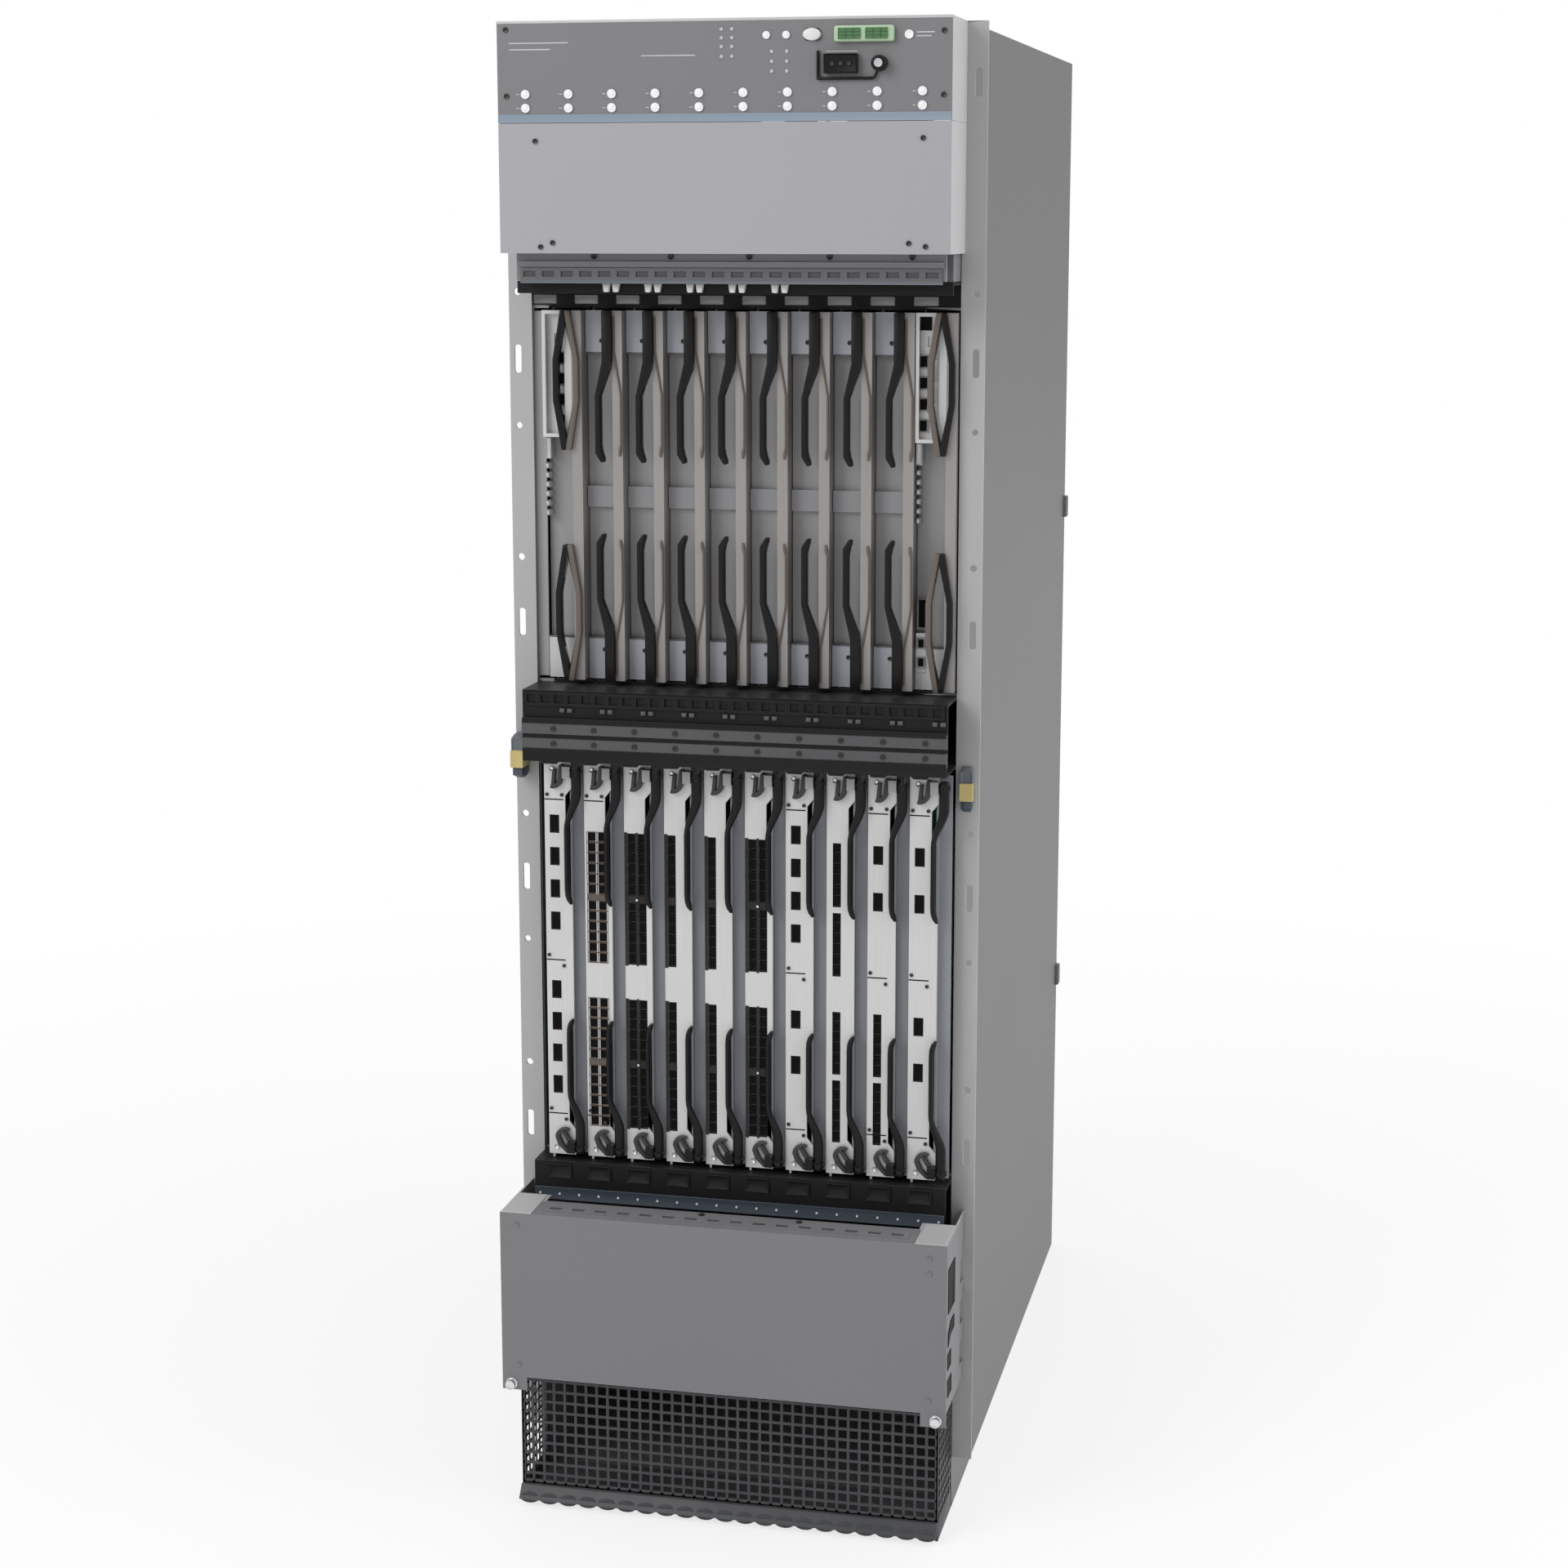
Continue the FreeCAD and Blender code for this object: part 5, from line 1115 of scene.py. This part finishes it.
spots = [(x, coverFace, coverTop - drop) for x, drop in coverScrew["fromTop"]]
spots += [(x, coverFace, coverLow + rise) for x, rise in coverScrew["fromFoot"]]
addScrews("coverScrews", spots, coverScrew, "chassis", "coverPaint")
dressRow("ledgeScrews", [makeBoss("ledgeScrew", ledgeScrew, (x, coverFace + ledgeScrew["depth"],
                                                            coverTop + ledgeScrew["lift"]), "Z", top)
                         for x in ledgeScrew["x"]], "chassis", "darkScrew")
pieces = []
for x in thumbs["x"]:
    for name, spec in (("thumbScrew", thumbStem), ("thumbCollar", thumbCollar)):
        pieces.append(makeBoss(name, spec, (x, coverFace - spec["reach"], coverLow - thumbs["drop"])))
dressRow("thumbScrews", pieces, "chassis", "brightSteel")
# near-black plates on the cover sides stand for the cut-outs: painted shade of the openings
for sign, outer in ((-1, left), (1, right)):
    pieces = []
    for cut in sideSlot["cuts"] + [sideSlot["slanted"]]:
        near, far, low, high = cut
        spec = {**sideSlot, "x": mirrored(sign, *sideSlot["range"]), "y": (near, far), "z": (low, high)}
        piece = startTile("sideSlot", spec, side=outer)
        if cut == sideSlot["slanted"]:
            drawOut(piece, front, sideSlot["slant"])
        pieces.append(soften(piece, sideSlot))
    dressRow("coverSlotShades", pieces, "chassis", "portDark")
print("cover done")

# intake grille: perforated front and sides, frame bars and the scalloped foot
(_, face, _), (half, _, grilleTop) = span("intake_grille")
grille = dict(low=21, inset=0.6, edge=1, back=-2, cells=(38, 13), sideCells=(7, 13), web=2.7, thick=1.2)
grilleBar = dict(soft=0.8, width=4, levels=((20, 25), (grilleTop - 4, grilleTop)), depth=3,
                 posts=((face, face + 4, 20), (-5, 0, 0)))
meshFoot = dict(x=(-half, half), y=(face - 4, face + 2), z=(8, 21), soft=0.8, splay=-10)
footSide = dict(y=(face, 0), z=(0, 21), soft=0.6, range=(half - 3, half))
scallop = dict(radius=10.6, length=2.4, sides=18, soft=0.4, segments=1, flatten=(1, 1, 0.56), count=21, reach=10,
               level=9.6)
footSheet = dict(x=(3 - half, half - 3), y=(face + 1, -1), z=(9, 11), rim=4, sink=0.6)
meshY, meshX = face + grille["inset"], half - grille["inset"]
mesh = [perforate("meshFront", (grille["edge"] - half, meshY, grille["low"]), (half - grille["edge"], meshY, grilleTop),
                  grille["cells"], grille["web"], grille["thick"])]
for sign in (-1, 1):
    mesh.append(perforate("meshSide", (sign * meshX, face + grille["edge"], grille["low"]),
                          (sign * meshX, grille["back"], grilleTop), grille["sideCells"], grille["web"],
                          grille["thick"], "X"))
frames = [{"x": (-half, half), "y": (face, face + grilleBar["depth"]), "z": levels} for levels in grilleBar["levels"]]
frames += [{"x": mirrored(sign, half - grilleBar["width"], half), "y": (near, far), "z": (low, grilleTop)}
           for near, far, low in grilleBar["posts"] for sign in (-1, 1)]
mesh += [soften(startTile("meshFrame", spec), grilleBar) for spec in frames]
foot = startTile("meshFoot", meshFoot)
pickFaces(foot, toward(under))
bpy.ops.transform.translate(value=(0, meshFoot["splay"] * mm, 0))
mesh.append(soften(leaveEdit(), meshFoot))
mesh += [makeTile("footSide", {**footSide, "x": mirrored(sign, *footSide["range"])}) for sign in (-1, 1)]
centre = (scallop["radius"] - half, face - scallop["reach"], scallop["level"])
lobes = startRod("scallop", centre, scallop)
pickFaces(lobes, anyFace)
bpy.ops.transform.resize(value=scallop["flatten"], center_override=at(*centre))
rowOf(soften(leaveEdit(), scallop), scallop["count"], ((half - scallop["radius"]) / (scallop["count"] // 2), 0, 0))
mesh.append(makeTile("footSheet", footSheet, side=top))
intake = dressRow("intakeMesh", mesh + [lobes], "chassis", "meshPaint")
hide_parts("intake_grille")
print("grille done")

# rear fan guards, bent from wire
fanLow, fanHigh = span("rear_fan_tray")
fans = dict(spacing=109.5, level=(fanLow[2] + fanHigh[2]) / 2, face=fanHigh[1])
hoop = dict(radii=(34, 54, 74, 94), wire=1.3, sides=8, steps=40, reach=1.2)
spoke = dict(radius=1.6, length=198, sides=8, soft=0.3, segments=1, reach=1.9, leans=(45, 135))
guards = []
for side in (-1, 1):
    hub = at(side * fans["spacing"], fans["face"], fans["level"])
    for radius in hoop["radii"]:
        clearSelection()
        bpy.ops.mesh.primitive_circle_add(vertices=hoop["sides"], radius=hoop["wire"] * mm,
                                          location=hub + Vector((radius, hoop["reach"], 0)) * mm)
        applyPlace("guardHoop")
        bpy.ops.object.mode_set(mode="EDIT")
        bpy.ops.mesh.select_all(action="SELECT")
        bpy.ops.mesh.spin(steps=hoop["steps"], angle=math.tau, center=hub, axis=(0, 1, 0))
        bpy.ops.mesh.select_all(action="SELECT")
        bpy.ops.mesh.remove_doubles(threshold=1e-5)
        guards.append(closeShell())
    for lean in spoke["leans"]:
        rod = startRod("guardSpoke", (side * fans["spacing"], fans["face"] + spoke["reach"], fans["level"]), spoke, "Z")
        pickFaces(rod, anyFace)
        bpy.ops.transform.rotate(value=math.radians(lean), orient_axis="Y", center_override=hub)
        guards.append(soften(leaveEdit(), spoke))
dressRow("fanGuards", guards, "chassis", "brightSteel")

# rear screws and the ribs of the rear cover
backLow, backHigh = span("rear_cover")
trayScrew = dict(radius=3.4, proud=2, x=(-211, 0, 211), margin=9)
backScrew = dict(radius=3, proud=1.8, x=(-209, 209), margin=14, count=6)
backSheet = 2
backFace = backLow[1] + backSheet
backRib = dict(y=(0, 2), z=(backLow[2] + 40, backHigh[2] - 40), soft=0.4, range=(60, 64), draw=(0, 1, 0),
               taper=(0.5, 1, 0.99))
spots = [(x, fanHigh[1], z) for x in trayScrew["x"]
         for z in (fanLow[2] + trayScrew["margin"], fanHigh[2] - trayScrew["margin"])]
addScrews("trayScrews", spots, trayScrew, side=rear)
step = (backHigh[2] - backLow[2] - 2 * backScrew["margin"]) / (backScrew["count"] - 1)
spots = [(x, backFace, backLow[2] + backScrew["margin"] + n * step) for x in backScrew["x"]
         for n in range(backScrew["count"])]
addScrews("backScrews", spots, backScrew, side=rear)
ribSpecs = [{**backRib, "x": mirrored(sign, *backRib["range"])} for sign in (-1, 1)]
dressRow("backRibs", [makeDrawn("backRib", spec, (0, backFace, 0), rear) for spec in ribSpecs], "chassis",
         "shellPaint")
print("rear cover done")

# power modules: vents, lamps, inlet frames with pins, latches
moduleLow, moduleHigh = span("power_modules")
module = dict(count=9, pitch=438 / 9, handle=8, ventProud=0.9)
moduleBase = (-(module["count"] // 2) * module["pitch"], moduleHigh[1] - module["handle"], moduleLow[2])
moduleX, moduleFace, moduleFloor = moduleBase
ventBack = dict(x=(-19, 19), y=(-0.5, 0.3), z=(52, 130), rim=1, sink=0.1)
vent = dict(cells=(5, 10), web=2.2, thick=1)
inletRim = dict(x=(-16.5, 16.5), y=(-0.4, 1.4), z=(17, 44), rim=2.8, sink=0.9, wall=0.4, middle=1)
inletPin = dict(x=(-1, 1), y=(-11, -2), z=(-3, 3), soft=0.4, places=((-7, 26), (7, 26), (0, 34)))
latch = dict(x=(-11, 11), y=(0, 8.6), z=(135.4, 145.4), rim=2, sink=1.2, soft=1)
moduleLamp = dict(radius=2, length=1.2, sides=14, rim=0.6, sink=-0.4, place=(-15, 0.6, 148))
backs = makeTile("ventBack", ventBack, moduleBase, rear)
ventLow, ventHigh = ((moduleX + ventBack["x"][end], moduleFace + module["ventProud"], moduleFloor + ventBack["z"][end])
                     for end in (0, 1))
vents = perforate("vent", ventLow, ventHigh, **vent)
rims = startTile("inletRim", inletRim, moduleBase, rear)
for test in (lambda c, n: abs(c.x - moduleX * mm) < inletRim["middle"] * mm and n.y > squareOff, toward(front)):
    pickFaces(rims, test)
    bpy.ops.mesh.delete(type="FACE")
    leaveEdit()
addModifier(rims, "SOLIDIFY", thickness=inletRim["wall"] * mm, offset=-1)
pins = joinPieces("inletPins", [makeTile("pin", inletPin, (moduleX + across, moduleFace, moduleFloor + up))
                                for across, up in inletPin["places"]])
latches = makeTile("latch", latch, moduleBase, rear)
lampPlace = [base + offset for base, offset in zip(moduleBase, moduleLamp["place"])]
lamps = makeBoss("moduleLamp", moduleLamp, lampPlace, side=rear)
for piece, name, finish in ((backs, "ventBacks", "portDark"), (vents, "moduleVents", "moduleZinc"),
                            (rims, "inletRims", "blackMould"), (pins, "inletPins", "brightSteel"),
                            (latches, "moduleLatches", "blackMould"), (lamps, "moduleLamps", "lampGreen")):
    copies = [copyTo(piece, name, (n * module["pitch"], 0, 0)) for n in range(1, module["count"])]
    dressRow(name, [piece] + copies, "chassis", finish)
print("power modules done")

# catches on the rear edge of both side panels
edgeCatch = dict(y=(-14, -1), z=(-13, 13), rim=2, sink=-0.8, soft=0.8, range=(halfBody - 0.4, halfBody + 4),
                 levels=(368, 972))
for sign, outer in ((-1, left), (1, right)):
    spec = {**edgeCatch, "x": mirrored(sign, *edgeCatch["range"])}
    dressRow("edgeCatches", [makeTile("catch", spec, (0, rearEdge, level), outer) for level in edgeCatch["levels"]],
             "chassis", "shellPaint")

# fins on the parts block of each board, seen when a board is drawn out
fin = dict(x=(6.8, 11.2), y=(0, 2), soft=0.4, segments=1, draw=(0.8, 0, 0), taper=(1, 0.5, 0.98), margin=60, count=18,
           gap=15, cardStart=60, boardStart=90)


def addFins(name, floorLevel, ceiling, start):
    spec = {**fin, "z": (floorLevel + fin["margin"], ceiling - fin["margin"])}
    piece = makeDrawn("fin", spec, (placeOf[name], start, 0), right)
    dress(rowOf(piece, fin["count"], (0, fin["gap"], 0)), name, "moduleZinc")


for card, board in zip(cardNodes, fabricNodes):
    addFins(card, lineFloor, lineTop, fin["cardStart"])
    addFins(board, fabricFloor, fabricTop, fin["boardStart"])
print("boards done")

# camera at the photograph's angle
viewpoint = dict(place=(0.6694, flangeY - 2.8018, 1.3266), turn=12.63, tilt=10.48, lens=66.36, sensor=36, shift=-0.02)


def setCamera():
    clearSelection()
    bpy.ops.object.camera_add(location=viewpoint["place"])
    camera = bpy.context.object
    camera.rotation_euler = (math.radians(90 - viewpoint["tilt"]), 0, math.radians(viewpoint["turn"]))
    camera.data.sensor_width = viewpoint["sensor"]
    camera.data.lens = viewpoint["lens"]
    camera.data.shift_y = viewpoint["shift"]
    bpy.context.scene.camera = camera


# pale floor and soft studio light
white = (1, 1, 1, 1)
studio = dict(floorSize=30, floorTone=0.93, floorRoughness=0.9, floorGlow=0.75, fadeStart=0.9, fadeEnd=2.4,
              roomLight=0.62, lamps=[("keyLamp", (-2.6, -3.6, 3.4), 95, 2.6),
              ("sideLamp", (3.6, -0.6, 2.4), 45, 2.2), ("topLamp", (0.2, 0.6, 4.2), 28, 2.4)])


def makeFloor():
    clearSelection()
    bpy.ops.mesh.primitive_plane_add(size=studio["floorSize"])
    floor = bpy.context.object
    floor.name = "studioFloor"
    material = bpy.data.materials.new("paleFloor")
    material.use_nodes = True
    tree = material.node_tree
    shader = tree.nodes["Principled BSDF"]
    tone = studio["floorTone"]
    shader.inputs["Base Color"].default_value = (tone, tone, tone, 1)
    shader.inputs["Roughness"].default_value = studio["floorRoughness"]
    seen = addNode(tree, "LightPath").outputs
    direct = mathNode(tree, "MAXIMUM", seen["Is Camera Ray"], seen["Is Glossy Ray"])
    glow = addNode(tree, "Emission", [("Color", white), ("Strength", 1)])
    away = addNode(tree, "VectorMath", [(0, objectPlace(tree))], operation="LENGTH")
    fade = addNode(tree, "MapRange", [("Value", away.outputs["Value"]), ("From Min", studio["fadeStart"]),
                                      ("From Max", studio["fadeEnd"]), ("To Min", studio["floorGlow"]), ("To Max", 1)])
    share = multiply(tree, direct, fade.outputs["Result"])
    blend = addNode(tree, "MixShader", [(0, share), (1, shader.outputs[0]), (2, glow.outputs[0])])
    tree.links.new(blend.outputs[0], tree.nodes["Material Output"].inputs["Surface"])
    floor.data.materials.append(material)


def makeLight():
    world = bpy.data.worlds.new("studioRoom")
    world.use_nodes = True
    bpy.context.scene.world = world
    tree = world.node_tree
    seen = addNode(tree, "LightPath").outputs
    direct = mathNode(tree, "MAXIMUM", seen["Is Camera Ray"], seen["Is Transmission Ray"])
    room = studio["roomLight"]
    back = addNode(tree, "Math", [(0, direct), (1, 1 - room), (2, room)], operation="MULTIPLY_ADD")
    tree.nodes["Background"].inputs["Color"].default_value = white
    tree.links.new(back.outputs[0], tree.nodes["Background"].inputs["Strength"])
    aim = Vector((0, 0, cadBox[1].z / 2))
    for name, spot, power, size in studio["lamps"]:
        clearSelection()
        bpy.ops.object.light_add(type="AREA", location=spot)
        lamp = bpy.context.object
        lamp.name = name
        lamp.data.energy = power
        lamp.data.size = size
        lamp.rotation_euler = (aim - Vector(spot)).to_track_quat("-Z", "Y").to_euler()


setCamera()
makeFloor()
makeLight()
bpy.context.scene.view_settings.view_transform = "Standard"
print("camera, floor and light set")
